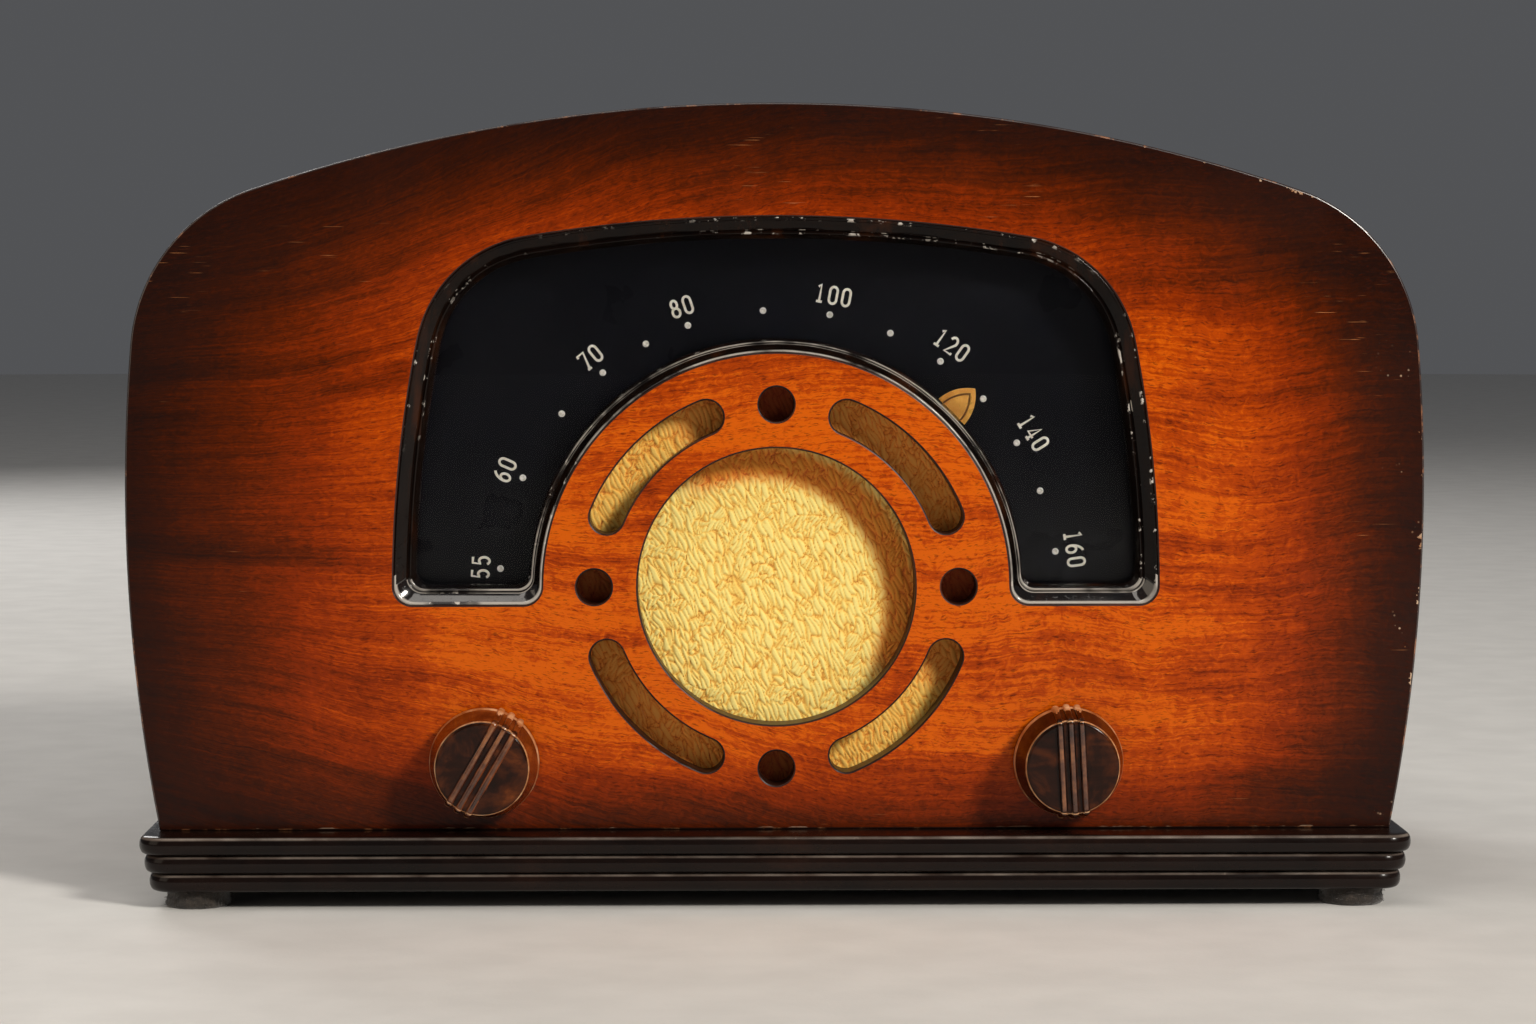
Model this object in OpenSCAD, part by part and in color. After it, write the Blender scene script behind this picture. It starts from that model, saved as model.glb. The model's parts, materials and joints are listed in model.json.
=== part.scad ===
// Table-top tube radio of about 1940 in an arched wooden cabinet.
// Millimetres. +X is the viewer's right, +Y runs from the front into the cabinet, +Z is up.
// The origin lies on the table under the middle of the whole radio.
// Depths named t are counted from the front face of the front panel towards the back.

/* [Cabinet] */
// Widest width of the cabinet
cabinet_w = 350; // [335:1:370]
// Height of the arch's crown above the plinth
cabinet_h = 195.8; // [190:0.1:205]
// Depth from the panel's front face to the rear edge
cabinet_depth = 175; // [172:1:200]
// Radius of the shallow arch across the top
crown_r = 438; // [400:1:500]
// Radius of the bowed sides
side_r = 474; // [430:1:520]
// Height above the plinth at which the sides bulge most
bulge_h = 89.3; // [80:0.1:100]
// Radius of the shoulders between the arch and the sides
shoulder_r = 48; // [40:1:56]
// Thickness of the wrapped wooden shell
shell_wall = 6.5; // [5:0.1:7]
// Thickness of the front panel
panel_t = 9.5; // [8:0.1:10]

/* [Plinth] */
// Thickness of one plinth board
slat_t = 5.1; // [4.5:0.1:6]
// How far the top board stands out in front of the panel
ledge_front = 12.8; // [9:0.1:15]
// How far each end of the top board lies inside the cabinet's widest point
plinth_side_gap = 3.9; // [1:0.1:7]
// How far each board below is drawn in
slat_step = 1.15; // [0:0.05:2]
// Radius of the plinth's front corners, seen from above
plinth_corner_r = 7; // [6:0.5:12]
// Thickness of the felt feet
foot_h = 4.9; // [3:0.1:8]
// Radius of the felt feet
foot_r = 9; // [6:0.5:11]
// Distance from the panel's plane in to the middle of the front feet
foot_front_t = 1; // [0:0.5:6]
// Distance from the middle of the rear feet to the rear edge
foot_rear_t = 14; // [12:0.5:30]
// Distance from the middle of a foot out to the cabinet's widest point
foot_side_gap = 18.7; // [18:0.1:35]

/* [Speaker grille] */
// Height of the grille's centre above the plinth
grille_h = 65.8; // [65.2:0.1:70]
// Radius of the round wooden field inside the dial
field_r = 63.3; // [62.6:0.1:65]
// Radius of the large speaker hole
grille_hole_r = 37.4; // [30:0.1:40]
// Radius of the four small round holes
pip_r = 4.7; // [3:0.1:5]
// Distance of the small holes from the grille's centre
pip_ring_r = 49.2; // [46:0.1:49.5]
// Width of the curved slots
slot_w = 9.2; // [6:0.1:9.6]
// Radius of the curved slots' middle line
slot_ring_r = 49.5; // [46:0.1:49.5]
// Angle from the vertical at which each curved slot's straight part starts
slot_start = 22.5; // [20:0.5:30]
// Thickness of the grille cloth
cloth_t = 0.6; // [0.4:0.1:0.6]

/* [Dial window] */
// Width of the dial window
window_w = 206.2; // [200:0.1:210]
// Height of the wood between the window's crown and the cabinet's crown
window_top_gap = 30.5; // [30:0.1:40]
// Depth of the window's feet below the grille's centre
window_drop = 4.8; // [2:0.1:8]
// Radius of the window's top arch
window_crown_r = 413; // [380:1:450]
// Radius of the window's bowed sides
window_side_r = 347; // [310:1:380]
// Depth below the grille's centre at which the window is widest
window_bulge_drop = 2.6; // [0:0.1:6]
// Radius of the window's shoulders
window_shoulder_r = 35; // [30:1:40]
// Radius of the corners at the window's feet
window_corner_r = 5; // [3:0.1:6]
// Width of the black bevel round the outside of the window
bevel_w = 5.7; // [4:0.1:7]
// Width of the black bevel at the feet
bevel_foot_w = 5.2; // [4:0.1:7]
// Width of the black bevel along the round field
bevel_field_w = 3.7; // [3:0.1:4.5]
// How far the bevel lies behind the panel's face
bevel_sink = 0.4; // [0.2:0.1:1]
// Thickness of the dial glass
glass_t = 1.5; // [1.2:0.1:1.6]
// How far the glass reaches behind the panel
glass_lap = 3; // [2:0.1:5]
// Gap between the glass and the dial plate
dial_gap = 2.5; // [2.4:0.1:2.8]
// Thickness of the dial plate
plate_t = 0.8; // [0.6:0.1:0.8]
// How far the dial frame reaches past the window
frame_lap = 8; // [7:0.1:9]
// Radius of the dial plate's round cut-out
plate_hole_r = 65; // [64.5:0.1:65.4]

/* [Pointer] */
// Radius at which the dial cord lies in the pointer ring
ring_cord_r = 61.2; // [61:0.05:61.4]
// Outer radius of the pointer ring
ring_r = 63; // [62.6:0.1:63]
// Inner radius of the pointer ring
ring_bore_r = 58; // [57.6:0.1:58.2]
// Front face of the pointer ring, behind the panel's face
ring_front_t = 13.2; // [13.2:0.05:13.3]
// Width of the pointer ring along its axis
ring_len = 6.8; // [6.2:0.1:6.9]
// Radius of the pointer's tip
pointer_tip_r = 76; // [72:0.1:78]
// Height of the pointer's pointed arch
pointer_arch_h = 9.7; // [7:0.1:12]
// Width of the pointer
pointer_w = 10; // [6:0.1:10.4]
// Thickness of the pointer
pointer_t = 0.8; // [0.6:0.05:0.8]
// Clockwise angle of the pointer from the vertical at rest
pointer_angle = 45.7; // [-80:0.1:80]
// Clockwise angle of the pointer with the tuning capacitor fully closed
pointer_low = -89; // [-90:0.5:-88]

/* [Knobs] */
// Distance of the knobs from the middle plane
knob_x = 78.7; // [76:0.1:82]
// Height of the knobs above the plinth
knob_h = 18.8; // [17:0.1:20]
// Radius of a knob at its base
knob_r = 14.8; // [13:0.1:16]
// Radius of a knob's flat face
knob_face_r = 12.7; // [11:0.1:13]
// Length of a knob
knob_len = 16.5; // [14:0.1:18]
// Gap between a knob and the panel
knob_gap = 1; // [0.5:0.1:2]
// Width of the three ribs across a knob
rib_w = 1.9; // [1.4:0.1:2.1]
// Spacing of the ribs
rib_pitch = 2.9; // [2.5:0.1:3.2]
// Height of the ribs above the knob's surface
rib_h = 0.9; // [0.5:0.1:1.2]
// Clockwise turn of the volume knob's ribs from the vertical
volume_turn = 30; // [-180:1:180]
// Clockwise turn of the tuning knob's ribs from the vertical
tuning_turn = -3.2; // [-180:0.1:180]
// Radius of the control shafts
shaft_r = 3.175; // [3:0.005:3.2]

/* [Dial drive] */
// Radius at which the cord lies on the tuning shaft's pulley
pulley_cord_r = 6.12; // [5.8:0.01:6.2]
// Radius at which the cord lies on the drive drum
drum_cord_r = 30.6; // [29:0.1:31]
// Distance of the drum from the middle plane
drum_x = 100; // [99:0.1:100.5]
// Height of the drum above the grille's centre
drum_h = 29; // [28.5:0.1:32]
// Radius of the dial cord
cord_r = 0.4; // [0.3:0.05:0.45]
// Number of teeth on the drum's pinion
pinion_teeth = 20; // [20:2:20]
// Number of teeth on the tuning capacitor's gear
gear_teeth = 40; // [40:2:42]
// Gear module
tooth_module = 1; // [0.96:0.01:1]
// Width of the gear faces
gear_face = 4; // [3:0.5:4]
// Backlash between the gears
backlash = 0.24; // [0.2:0.01:0.3]

/* [Baffle] */
// Thickness of the baffle board
board_t = 4; // [3:0.1:4.4]
// Distance from each end of the baffle board out to the cabinet's widest point
board_side_gap = 29; // [28:1:31]
// Height of the baffle board's top above the plinth
board_h = 131.8; // [125:0.1:140]
// Thickness of the hub ring's wall
hub_wall = 3.4; // [3:0.1:3.5]

/* [Speaker] */
// Radius of the speaker frame's flange
flange_r = 63.5; // [62:0.1:64]
// Radius of the voice coil's former
coil_r = 12.7; // [12:0.1:13.2]
// Thickness of pressed steel parts of the speaker
basket_t = 1.2; // [0.8:0.1:1.3]
// Radius of the magnet's yoke
yoke_r = 25; // [24:0.5:28]
// Length of the magnet's yoke
yoke_len = 24; // [20:0.5:26]
// Radial gap beside the voice coil
coil_gap = 0.7; // [0.5:0.05:0.8]

/* [Chassis] */
// Height of the chassis pan
pan_h = 36.8; // [35:0.1:40]
// Thickness of the chassis sheet
sheet_t = 1.2; // [0.8:0.1:1.5]
// Distance from each end of the chassis out to the cabinet's widest point
pan_side_gap = 25; // [24:1:27]
// Half width of the notch that clears the speaker
notch_half_w = 64.8; // [64.4:0.1:65.2]
// Radius of a tube's glass
bulb_r = 14.3; // [13:0.1:15]
// Height of a tube's glass above its base
bulb_h = 56; // [48:1:62]
// Radius of a tube's base
tube_base_r = 13.6; // [12:0.1:14]
// Height of a tube's base
tube_base_h = 13; // [10:0.5:15]
// Radius of the tuning capacitor's rotor plates
rotor_r = 22; // [19:0.5:22.5]
// Radius of the hole in the cord grommet
cord_hole_r = 3.5; // [3:0.1:4]

/* [Back] */
// Thickness of the back cover
cover_t = 3; // [2:0.1:4]
// How far the back cover is sunk into the shell
cover_sink = 3; // [2.5:0.1:5]
// Gap between the chassis deck and the back cover's lower edge
cover_gap = 12; // [10:0.5:14]
// Radius of the vent holes in the back cover
vent_r = 4; // [3:0.1:5]

/* [Hidden] */

$fn = 64;
arc_fn = 360;
fit_gap = 0.06;
cord_gap = 0.25;
loose_gap = 0.3;
// Each rounding is this much too large, so that it crosses its neighbours instead of just meeting them
rounding_ease = 0.005;

// Gap at the chassis's and the tuning capacitor's spot welded seams
seam_gap = 0.05;

base_z = foot_h + 3 * slat_t;
half_w = cabinet_w / 2;
plinth_half_w = half_w - plinth_side_gap;
foot_x = half_w - foot_side_gap;
board_half_w = half_w - board_side_gap;
pan_half_w = half_w - pan_side_gap;
window_h = cabinet_h - grille_h - window_top_gap;
knob_reach = knob_gap + knob_len;
front_y = -(cabinet_depth - knob_reach) / 2;
grille_z = base_z + grille_h;
knob_z = base_z + knob_h;
deck_z = base_z + pan_h;

// Depths of the pieces behind the front panel, from the front to the back
cloth_back_t = panel_t + cloth_t;
glass_front_t = panel_t;
glass_back_t = glass_front_t + glass_t;
plate_front_t = glass_back_t + dial_gap;
plate_back_t = plate_front_t + plate_t;
ring_back_t = ring_front_t + ring_len;
pointer_front_t = ring_front_t - pointer_t;
cord_plane_t = ring_front_t + ring_len * 0.6;
board_front_t = ring_back_t + 0.4;
board_back_t = board_front_t + board_t;
hub_r = ring_bore_r - fit_gap - 0.03;
hub_bore_r = hub_r - hub_wall;
hub_lip_r = ring_cord_r - cord_r - 0.9;
gasket_t = 1.3;
gasket_back_t = board_back_t + gasket_t;
surround_t = 0.6;
flange_front_t = gasket_back_t + surround_t;
flange_back_t = flange_front_t + basket_t;
apron_t = board_back_t + 1.5;
apron_back_t = apron_t + sheet_t;
pan_rear_t = cabinet_depth - 15;
cover_back_t = cabinet_depth - cover_sink;
cover_front_t = cover_back_t - cover_t;

// Dial drive
drum_z = grille_z + drum_h;
groove_floor = cord_r + cord_gap;
groove_half_w = 1.1;
flange_over = 1.9;
// Free space round the drive drum, also in the board's end cleats where the cabinet is narrow
drum_clear = 2;
arbor_r = 3;
gear_t = board_back_t + 2;
pinion_pitch_r = pinion_teeth * tooth_module / 2;
gear_pitch_r = gear_teeth * tooth_module / 2;
gang_x = drum_x;
gang_z = drum_z - pinion_pitch_r - gear_pitch_r;
gang_turned = pointer_angle - pointer_low;
bushing_r = 4.76;

// Tuning capacitor
gang_front_t = gear_t + gear_face + 1.5;
gang_half_w = 27;
gang_plate_t = 1.5;
blade_t = 0.8;
blade_pitch = 2.4;
blade_count = 8;
section_len = blade_pitch * blade_count;
section_gap = 5;
section_t = [for (i = [0, 1]) gang_front_t + gang_plate_t + 4 + i * (section_len + section_gap)];
gang_rear_t = section_t[1] + section_len + 4;
rotor_hub_r = 5;
stator_rod_r = 1.6;
stator_rod_ring = rotor_r + 4.2;
stator_rod_angles = [-150, -30];

// Speaker
notch_t = flange_back_t + yoke_len + 36;
ledge_t = flange_back_t + 22;
ledge_r = 30;
well_r = 25.5;
well_t = ledge_t + 7;
cone_r = 47;
cone_deep_t = ledge_t - 2;

// Places on the chassis deck, as distance to the right and depth behind the panel's face
tube_places = [[gang_x, pan_rear_t - 32], [62, pan_rear_t - 22], [-20, pan_rear_t - 22],
    [24 - pan_half_w, pan_rear_t - 42], [-88, 84]];
can_places = [[22, pan_rear_t - 30], [-64, pan_rear_t - 26]];
capacitor_place = [18 - pan_half_w, 72];
transformer_place = [42 - pan_half_w, 44];
socket_t = 2.5;
tube_pin_ring = 8.7;
tube_pin_r = 1.2;
tube_pin_len = 9;
socket_hole_r = 11;
can_w = 32;
can_h = 66;
can_wall = 1;

// Screws
screw_r = 1.4;
screw_head_r = 3;
screw_head_t = 1.6;
screw_gap = 0.06;
screw_bite_t = 5.5;
dial_screw_out = glass_lap + 2.2;
dial_screw_x = 62;
dial_screw_places = [for (x = [-dial_screw_x, 0, dial_screw_x])
        [x, grille_z + window_h - window_crown_r + sqrt(pow(window_crown_r + dial_screw_out, 2) - x * x)],
    for (s = [-1, 1]) [s * (window_w / 2 + dial_screw_out), grille_z - window_drop - 2]];
speaker_screw_r = 60.6;
speaker_screw_angles = [45, 135, 225, 315];
chassis_screw_x = pan_half_w - 10;
chassis_screw_ts = [apron_t + 16, pan_rear_t - 12];
chassis_screw_r = 2;
tab_w = 16;
cleat_depth = 12;
cleat_in = 14;
cover_screw_shares = [0.383, 0.674];
cover_screw_places = [for (s = [-1, 1], share = cover_screw_shares)
        [s * (half_w - shell_wall - 9), base_z + share * cabinet_h],
    [0, base_z + cabinet_h - shell_wall - 6]];
grommet_x = 30 - pan_half_w;
grommet_z = base_z + pan_h / 2;

// General helpers

// A front view outline made solid between two depths
module slab(t0, t1)
    translate([0, front_y + t1, 0]) rotate([90, 0, 0]) linear_extrude(t1 - t0) children();

// Turns a shape's own z axis to point into the cabinet
module inward(x, z, t)
    translate([x, front_y + t, z]) rotate([-90, 0, 0]) children();

module rod(x, z, t0, t1, r)
    inward(x, z, t0) cylinder(h = t1 - t0, r = r);

module sleeve(x, z, t0, t1, r, bore)
    inward(x, z, t0) rotate_extrude() translate([bore, 0]) square([r - bore, t1 - t0]);

// A flat plate or block between two widths, two depths and two heights
module plate(x0, x1, t0, t1, z0, z1)
    translate([x0, front_y + t0, z0]) cube([x1 - x0, t1 - t0, z1 - z0]);

module both_sides()
    for (s = [0, 1]) mirror([s, 0]) children();

// The upper right meeting point of two circles
function meeting(ca, ra, cb, rb) =
    let (
        len = norm(cb - ca),
        u = (cb - ca) / len,
        along = (ra * ra - rb * rb + len * len) / (2 * len),
        across = sqrt(ra * ra - along * along),
        p = ca + u * along + [-u.y, u.x] * across,
        q = ca + u * along - [-u.y, u.x] * across
    ) p.x > q.x ? p : q;

// The material outside a rounding of centre c, between the directions a and b
module outside_rounding(c, a, b, r) {
    reach = 2 * r + 5;
    difference() {
        polygon([c, c + reach * a, c + reach * (a + b), c + reach * b]);
        translate(c) circle(r = r + rounding_ease, $fn = arc_fn);
    }
}

// An arch of tangent arcs: a shallow crown, two shoulders and two bowed sides
module arch(half, top_z, top_r, flank_r, flank_z, corner_r, foot_z, inset) {
    top_c = [0, top_z - top_r];
    flank_c = [half - flank_r, flank_z];
    corner_c = meeting(top_c, top_r - corner_r, flank_c, flank_r - corner_r);
    up = (corner_c - top_c) / norm(corner_c - top_c);
    out = (corner_c - flank_c) / norm(corner_c - flank_c);
    difference() {
        intersection() {
            translate(top_c) circle(r = top_r - inset, $fn = arc_fn);
            translate(flank_c) circle(r = flank_r - inset, $fn = arc_fn);
            mirror([1, 0]) translate(flank_c) circle(r = flank_r - inset, $fn = arc_fn);
            translate([-half - 20, foot_z]) square([2 * half + 40, top_z]);
        }
        both_sides() outside_rounding(corner_c, up, out, corner_r - inset);
    }
}

module cabinet_outline(inset, foot_z)
    arch(half_w, base_z + cabinet_h, crown_r, side_r, base_z + bulge_h, shoulder_r, foot_z, inset);

// The horseshoe shape of the dial window and of everything cut to it
module horseshoe(inset, foot_lift, inner_r, corner_r) {
    foot_z = grille_z - window_drop + foot_lift;
    side_c = [window_w / 2 - window_side_r, grille_z - window_bulge_drop];
    field_c = [0, grille_z];
    low_z = foot_z + corner_r;
    outer_c = [side_c.x + sqrt(pow(window_side_r - inset - corner_r, 2) - pow(low_z - side_c.y, 2)), low_z];
    inner_c = [sqrt(pow(inner_r + corner_r, 2) - pow(max(0, low_z - grille_z), 2)), low_z];
    to_field = low_z > grille_z ? (field_c - inner_c) / norm(field_c - inner_c) : [-1, 0];
    difference() {
        arch(window_w / 2, grille_z + window_h, window_crown_r, window_side_r, side_c.y,
            window_shoulder_r, foot_z, inset);
        translate(field_c) circle(r = inner_r, $fn = arc_fn);
        translate([-inner_r, foot_z - 1]) square([2 * inner_r, grille_z - foot_z + 1]);
        both_sides() outside_rounding(outer_c, (outer_c - side_c) / norm(outer_c - side_c), [0, -1], corner_r);
        both_sides() outside_rounding(inner_c, [0, -1], to_field, corner_r);
    }
}

// One curved slot of the grille, centred on the angle given
module grille_slot(angle) {
    half_angle = 45 - slot_start;
    reach = 2 * slot_ring_r;
    rotate(angle) intersection() {
        difference() {
            circle(r = slot_ring_r + slot_w / 2, $fn = arc_fn);
            circle(r = slot_ring_r - slot_w / 2, $fn = arc_fn);
        }
        polygon([[0, 0], reach * [cos(half_angle), -sin(half_angle)],
            reach * [cos(half_angle), sin(half_angle)]]);
    }
    for (s = [-1, 1]) rotate(angle + s * half_angle) translate([slot_ring_r, 0])
        circle(r = slot_w / 2 + rounding_ease);
}

module grille_holes()
    translate([0, grille_z]) {
        circle(r = grille_hole_r, $fn = arc_fn);
        for (a = [0:90:270]) rotate(a) translate([pip_ring_r, 0]) circle(r = pip_r);
        for (a = [45:90:315]) grille_slot(a);
    }

module screw_holes(places, t0, t1)
    for (p = places) rod(p.x, p.y, t0, t1, screw_r + screw_gap);

module screw(x, z, tip_t, head_t) {
    rod(x, z, tip_t, head_t, screw_r);
    rod(x, z, head_t, head_t + screw_head_t, screw_head_r);
}

// Cabinet

module front_panel() {
    color("sienna") difference() {
        slab(0, panel_t) difference() {
            cabinet_outline(0, base_z);
            horseshoe(0, 0, field_r, window_corner_r);
            grille_holes();
        }
        for (s = [-1, 1]) rod(s * knob_x, knob_z, -1, panel_t + 1, shaft_r + 2);
        screw_holes(dial_screw_places, screw_bite_t - 0.5, panel_t + 1);
    }
}

module cabinet_shell() {
    color("saddlebrown") slab(panel_t, cabinet_depth) difference() {
        cabinet_outline(0, base_z);
        cabinet_outline(shell_wall, base_z - 1);
    }
}

// One plinth board with half-round edges at the front and the sides
module plinth_board(index) {
    nose_r = slat_t / 2;
    board_half = plinth_half_w - index * slat_step;
    edge_y = front_y - ledge_front + index * slat_step;
    rear_y = front_y + cabinet_depth;
    low_z = base_z - (index + 1) * slat_t;
    corner_x = board_half - plinth_corner_r;
    corner_y = edge_y + plinth_corner_r;
    difference() {
        translate([0, 0, low_z]) {
            translate([-corner_x, edge_y + nose_r, 0]) cube([2 * corner_x, rear_y - edge_y - nose_r, slat_t]);
            translate([-corner_x, edge_y + nose_r, nose_r]) rotate([90, 0, 90])
                linear_extrude(2 * corner_x) mirror([1, 0]) half_round(nose_r);
            for (s = [0, 1]) mirror([s, 0, 0]) {
                translate([corner_x, corner_y, 0])
                    cube([plinth_corner_r - nose_r, rear_y - corner_y, slat_t]);
                translate([board_half - nose_r, rear_y, nose_r]) rotate([90, 0, 0])
                    linear_extrude(rear_y - corner_y) half_round(nose_r);
                translate([corner_x, corner_y, nose_r]) rotate([0, 0, -90])
                    rotate_extrude(angle = 90, $fn = arc_fn) {
                        translate([0, -nose_r]) square([plinth_corner_r - nose_r, slat_t]);
                        translate([plinth_corner_r - nose_r, 0]) half_round(nose_r);
                    }
            }
        }
        for (s = [-1, 1], t = chassis_screw_ts) translate([s * chassis_screw_x, front_y + t, low_z - 1])
            cylinder(h = slat_t + 2, r = index == 2 ? 2 * chassis_screw_r + 0.3 : chassis_screw_r + 0.2);
    }
}

module half_round(r)
    intersection() {
        circle(r = r);
        translate([0, -r]) square([r, 2 * r]);
    }

module plinth_top() color([0.06, 0.05, 0.05]) plinth_board(0);
module plinth_middle() color([0.06, 0.05, 0.05]) plinth_board(1);
module plinth_bottom() color([0.06, 0.05, 0.05]) plinth_board(2);

module foot(side, t)
    color([0.36, 0.33, 0.3]) translate([side * foot_x, front_y + t, 0]) cylinder(h = foot_h, r = foot_r);

module foot_front_left() foot(-1, foot_front_t);
module foot_front_right() foot(1, foot_front_t);
module foot_rear_left() foot(-1, cabinet_depth - foot_rear_t);
module foot_rear_right() foot(1, cabinet_depth - foot_rear_t);

// A block cut to the inside of the shell
module wall_block(x0, x1, z0, z1, t0, t1)
    slab(t0, t1) intersection() {
        cabinet_outline(shell_wall, base_z);
        translate([min(x0, x1), z0]) square([abs(x1 - x0), z1 - z0]);
    }

module glue_blocks() {
    cleat_w = 10;
    corner_w = 12;
    top_z = base_z + cabinet_h;
    color("burlywood") difference() {
        union() {
            for (s = [-1, 1]) {
                wall_block(s * (board_half_w - cleat_w), s * board_half_w, base_z,
                    base_z + board_h, panel_t, board_front_t);
                for (p = cover_screw_places) if (p.x * s > 0)
                    wall_block(s * (half_w - shell_wall - cleat_in), s * half_w, p.y - 14, p.y + 14,
                        cover_front_t - cleat_depth, cover_front_t);
                for (t = [apron_t + 30, pan_rear_t - 50])
                    wall_block(s * (pan_half_w + 2), s * half_w, base_z, base_z + corner_w, t, t + 30);
            }
            wall_block(-18, 18, top_z - shell_wall - cleat_in, top_z, cover_front_t - cleat_depth, cover_front_t);
        }
        screw_holes(cover_screw_places, cover_front_t - cleat_depth + 1, cover_back_t);
        rod(drum_x, drum_z, panel_t - 1, board_front_t + 1, drum_cord_r + flange_over + drum_clear);
    }
}

// Dial

module dial_bezel() {
    steps = 3;
    step_t = [bevel_sink, 1.6, 3.6, panel_t];
    share = [0.3, 0.65, 1];
    color([0.05, 0.05, 0.06]) for (i = [0:steps - 1]) slab(step_t[i], step_t[i + 1]) difference() {
        horseshoe(0, 0, field_r, window_corner_r);
        horseshoe(bevel_w * share[i], bevel_foot_w * share[i], field_r + bevel_field_w * share[i],
            window_corner_r * (1 - share[i] / 4));
    }
}

module dial_glass() {
    color([0.7, 0.75, 0.8, 0.35]) slab(glass_front_t, glass_back_t)
        horseshoe(-glass_lap, -glass_lap, field_r - 2, window_corner_r);
}

// The wooden spacer round the glass and the dial plate
module dial_frame() {
    color("tan") difference() {
        union() {
            slab(glass_front_t, glass_back_t) difference() {
                frame_outline();
                horseshoe(-glass_lap - 0.2, -glass_lap - 0.2, field_r - 3, window_corner_r);
                translate([-plate_hole_r, 0]) square([2 * plate_hole_r, grille_z]);
            }
            slab(glass_back_t, plate_front_t) difference() {
                frame_outline();
                horseshoe(-0.5, -0.5, plate_hole_r - 2, window_corner_r);
                translate([-plate_hole_r, 0]) square([2 * plate_hole_r, grille_z]);
            }
        }
        screw_holes(dial_screw_places, panel_t - 1, plate_front_t + 1);
    }
}

module frame_outline()
    horseshoe(-frame_lap, -frame_lap, plate_hole_r, window_corner_r);

module dial_plate() {
    color([0.04, 0.04, 0.05]) difference() {
        slab(plate_front_t, plate_back_t) frame_outline();
        screw_holes(dial_screw_places, plate_front_t - 1, plate_back_t + 1);
    }
}

module wood_screws() {
    color("goldenrod") {
        for (p = dial_screw_places) screw(p.x, p.y, screw_bite_t, plate_back_t);
        for (a = speaker_screw_angles)
            screw(speaker_screw_r * cos(a), grille_z + speaker_screw_r * sin(a), board_front_t + 0.5,
                flange_back_t);
    }
}

// Pointer and its hub

module grille_cloth() {
    color([0.9, 0.72, 0.32]) rod(0, grille_z, panel_t, cloth_back_t, hub_lip_r - 1.2);
}

module hub_ring() {
    lip_back_t = pointer_front_t - 0.1;
    color("peru") inward(0, grille_z, 0) rotate_extrude($fn = arc_fn) {
        translate([hub_bore_r, cloth_back_t]) square([hub_wall, board_back_t - cloth_back_t]);
        translate([hub_r, cloth_back_t]) square([hub_lip_r - hub_r, lip_back_t - cloth_back_t]);
    }
}

module pointer_ring() {
    color([0.2, 0.2, 0.21]) inward(0, grille_z, 0) rotate_extrude($fn = arc_fn) difference() {
        translate([ring_bore_r, ring_front_t]) square([ring_r - ring_bore_r, ring_len]);
        cord_groove(ring_cord_r);
    }
}

// Half section of a cord groove round an axis
module cord_groove(r)
    translate([r - groove_floor, cord_plane_t - groove_half_w]) square([10, 2 * groove_half_w]);

module pointer() {
    arch_foot = pointer_tip_r - pointer_arch_h;
    half = pointer_w / 2;
    offset_x = (pow(pointer_arch_h, 2) - pow(half, 2)) / pointer_w;
    foot = hub_lip_r + 0.4;
    color([0.83, 0.62, 0.25]) slab(pointer_front_t, ring_front_t) translate([0, grille_z])
        rotate(-pointer_angle) {
            translate([-half, foot]) square([pointer_w, arch_foot - foot]);
            translate([0, arch_foot]) intersection() {
                translate([offset_x, 0]) circle(r = offset_x + half, $fn = 96);
                translate([-offset_x, 0]) circle(r = offset_x + half, $fn = 96);
                translate([-half, 0]) square([pointer_w, pointer_arch_h + 1]);
            }
        }
}

// Dial cord and drive

// The cord's wheels in clockwise order: centre and radius at which the cord lies
wheels = [[[0, grille_z], ring_cord_r], [[drum_x, drum_z], drum_cord_r], [[knob_x, knob_z], pulley_cord_r]];

// Direction from a wheel's centre to where the straight run to the next wheel leaves it
function leave_angle(a, b) =
    let (d = b[0] - a[0])
    atan2(d.y, d.x) + acos((a[1] - b[1]) / norm(d));

// The cord's loop as points with the direction away from the wheel, clockwise round the three wheels
cord_steps = [36, 14, 8];
cord_path = [for (i = [0:2])
    let (
        here = wheels[i],
        leave = leave_angle(here, wheels[(i + 1) % 3]),
        wrap = (leave_angle(wheels[(i + 2) % 3], here) - leave + 720) % 360
    )
    for (k = [0:cord_steps[i]])
        let (angle = leave + wrap * (1 - k / cord_steps[i]), out = [cos(angle), sin(angle)])
        [here[0] + here[1] * out, out]];

// The cord as one closed tube with eight sides
module dial_cord() {
    sides = 8;
    count = len(cord_path);
    points = [for (p = cord_path, j = [0:sides - 1])
        let (at = p[0] + cord_r * cos(45 * j) * p[1])
        [at.x, front_y + cord_plane_t + cord_r * sin(45 * j), at.y]];
    faces = [for (i = [0:count - 1], j = [0:sides - 1])
        let (a = i * sides, b = (i + 1) % count * sides, n = (j + 1) % sides)
        each [[a + j, b + j, b + n], [a + j, b + n, a + n]]];
    color("tan") polyhedron(points, faces);
}

module drive_drum() {
    rim = 4;
    web_t = cord_plane_t - 0.6;
    color("darkgray") {
        inward(drum_x, drum_z, 0) rotate_extrude($fn = 120) difference() {
            union() {
                translate([drum_cord_r - groove_floor - rim, cord_plane_t - 2])
                    square([rim + groove_floor + flange_over, 4]);
                translate([0, web_t]) square([drum_cord_r - rim, 1.2]);
                translate([0, plate_back_t + 0.6]) square([6, board_front_t - plate_back_t - 0.8]);
                square_to_axis(board_front_t - 1, gear_t + gear_face + 0.6, arbor_r);
            }
            cord_groove(drum_cord_r);
        }
    }
}

// Half section of a plain round bar from the axis out
module square_to_axis(t0, t1, r)
    translate([0, t0]) square([r, t1 - t0]);

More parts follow.
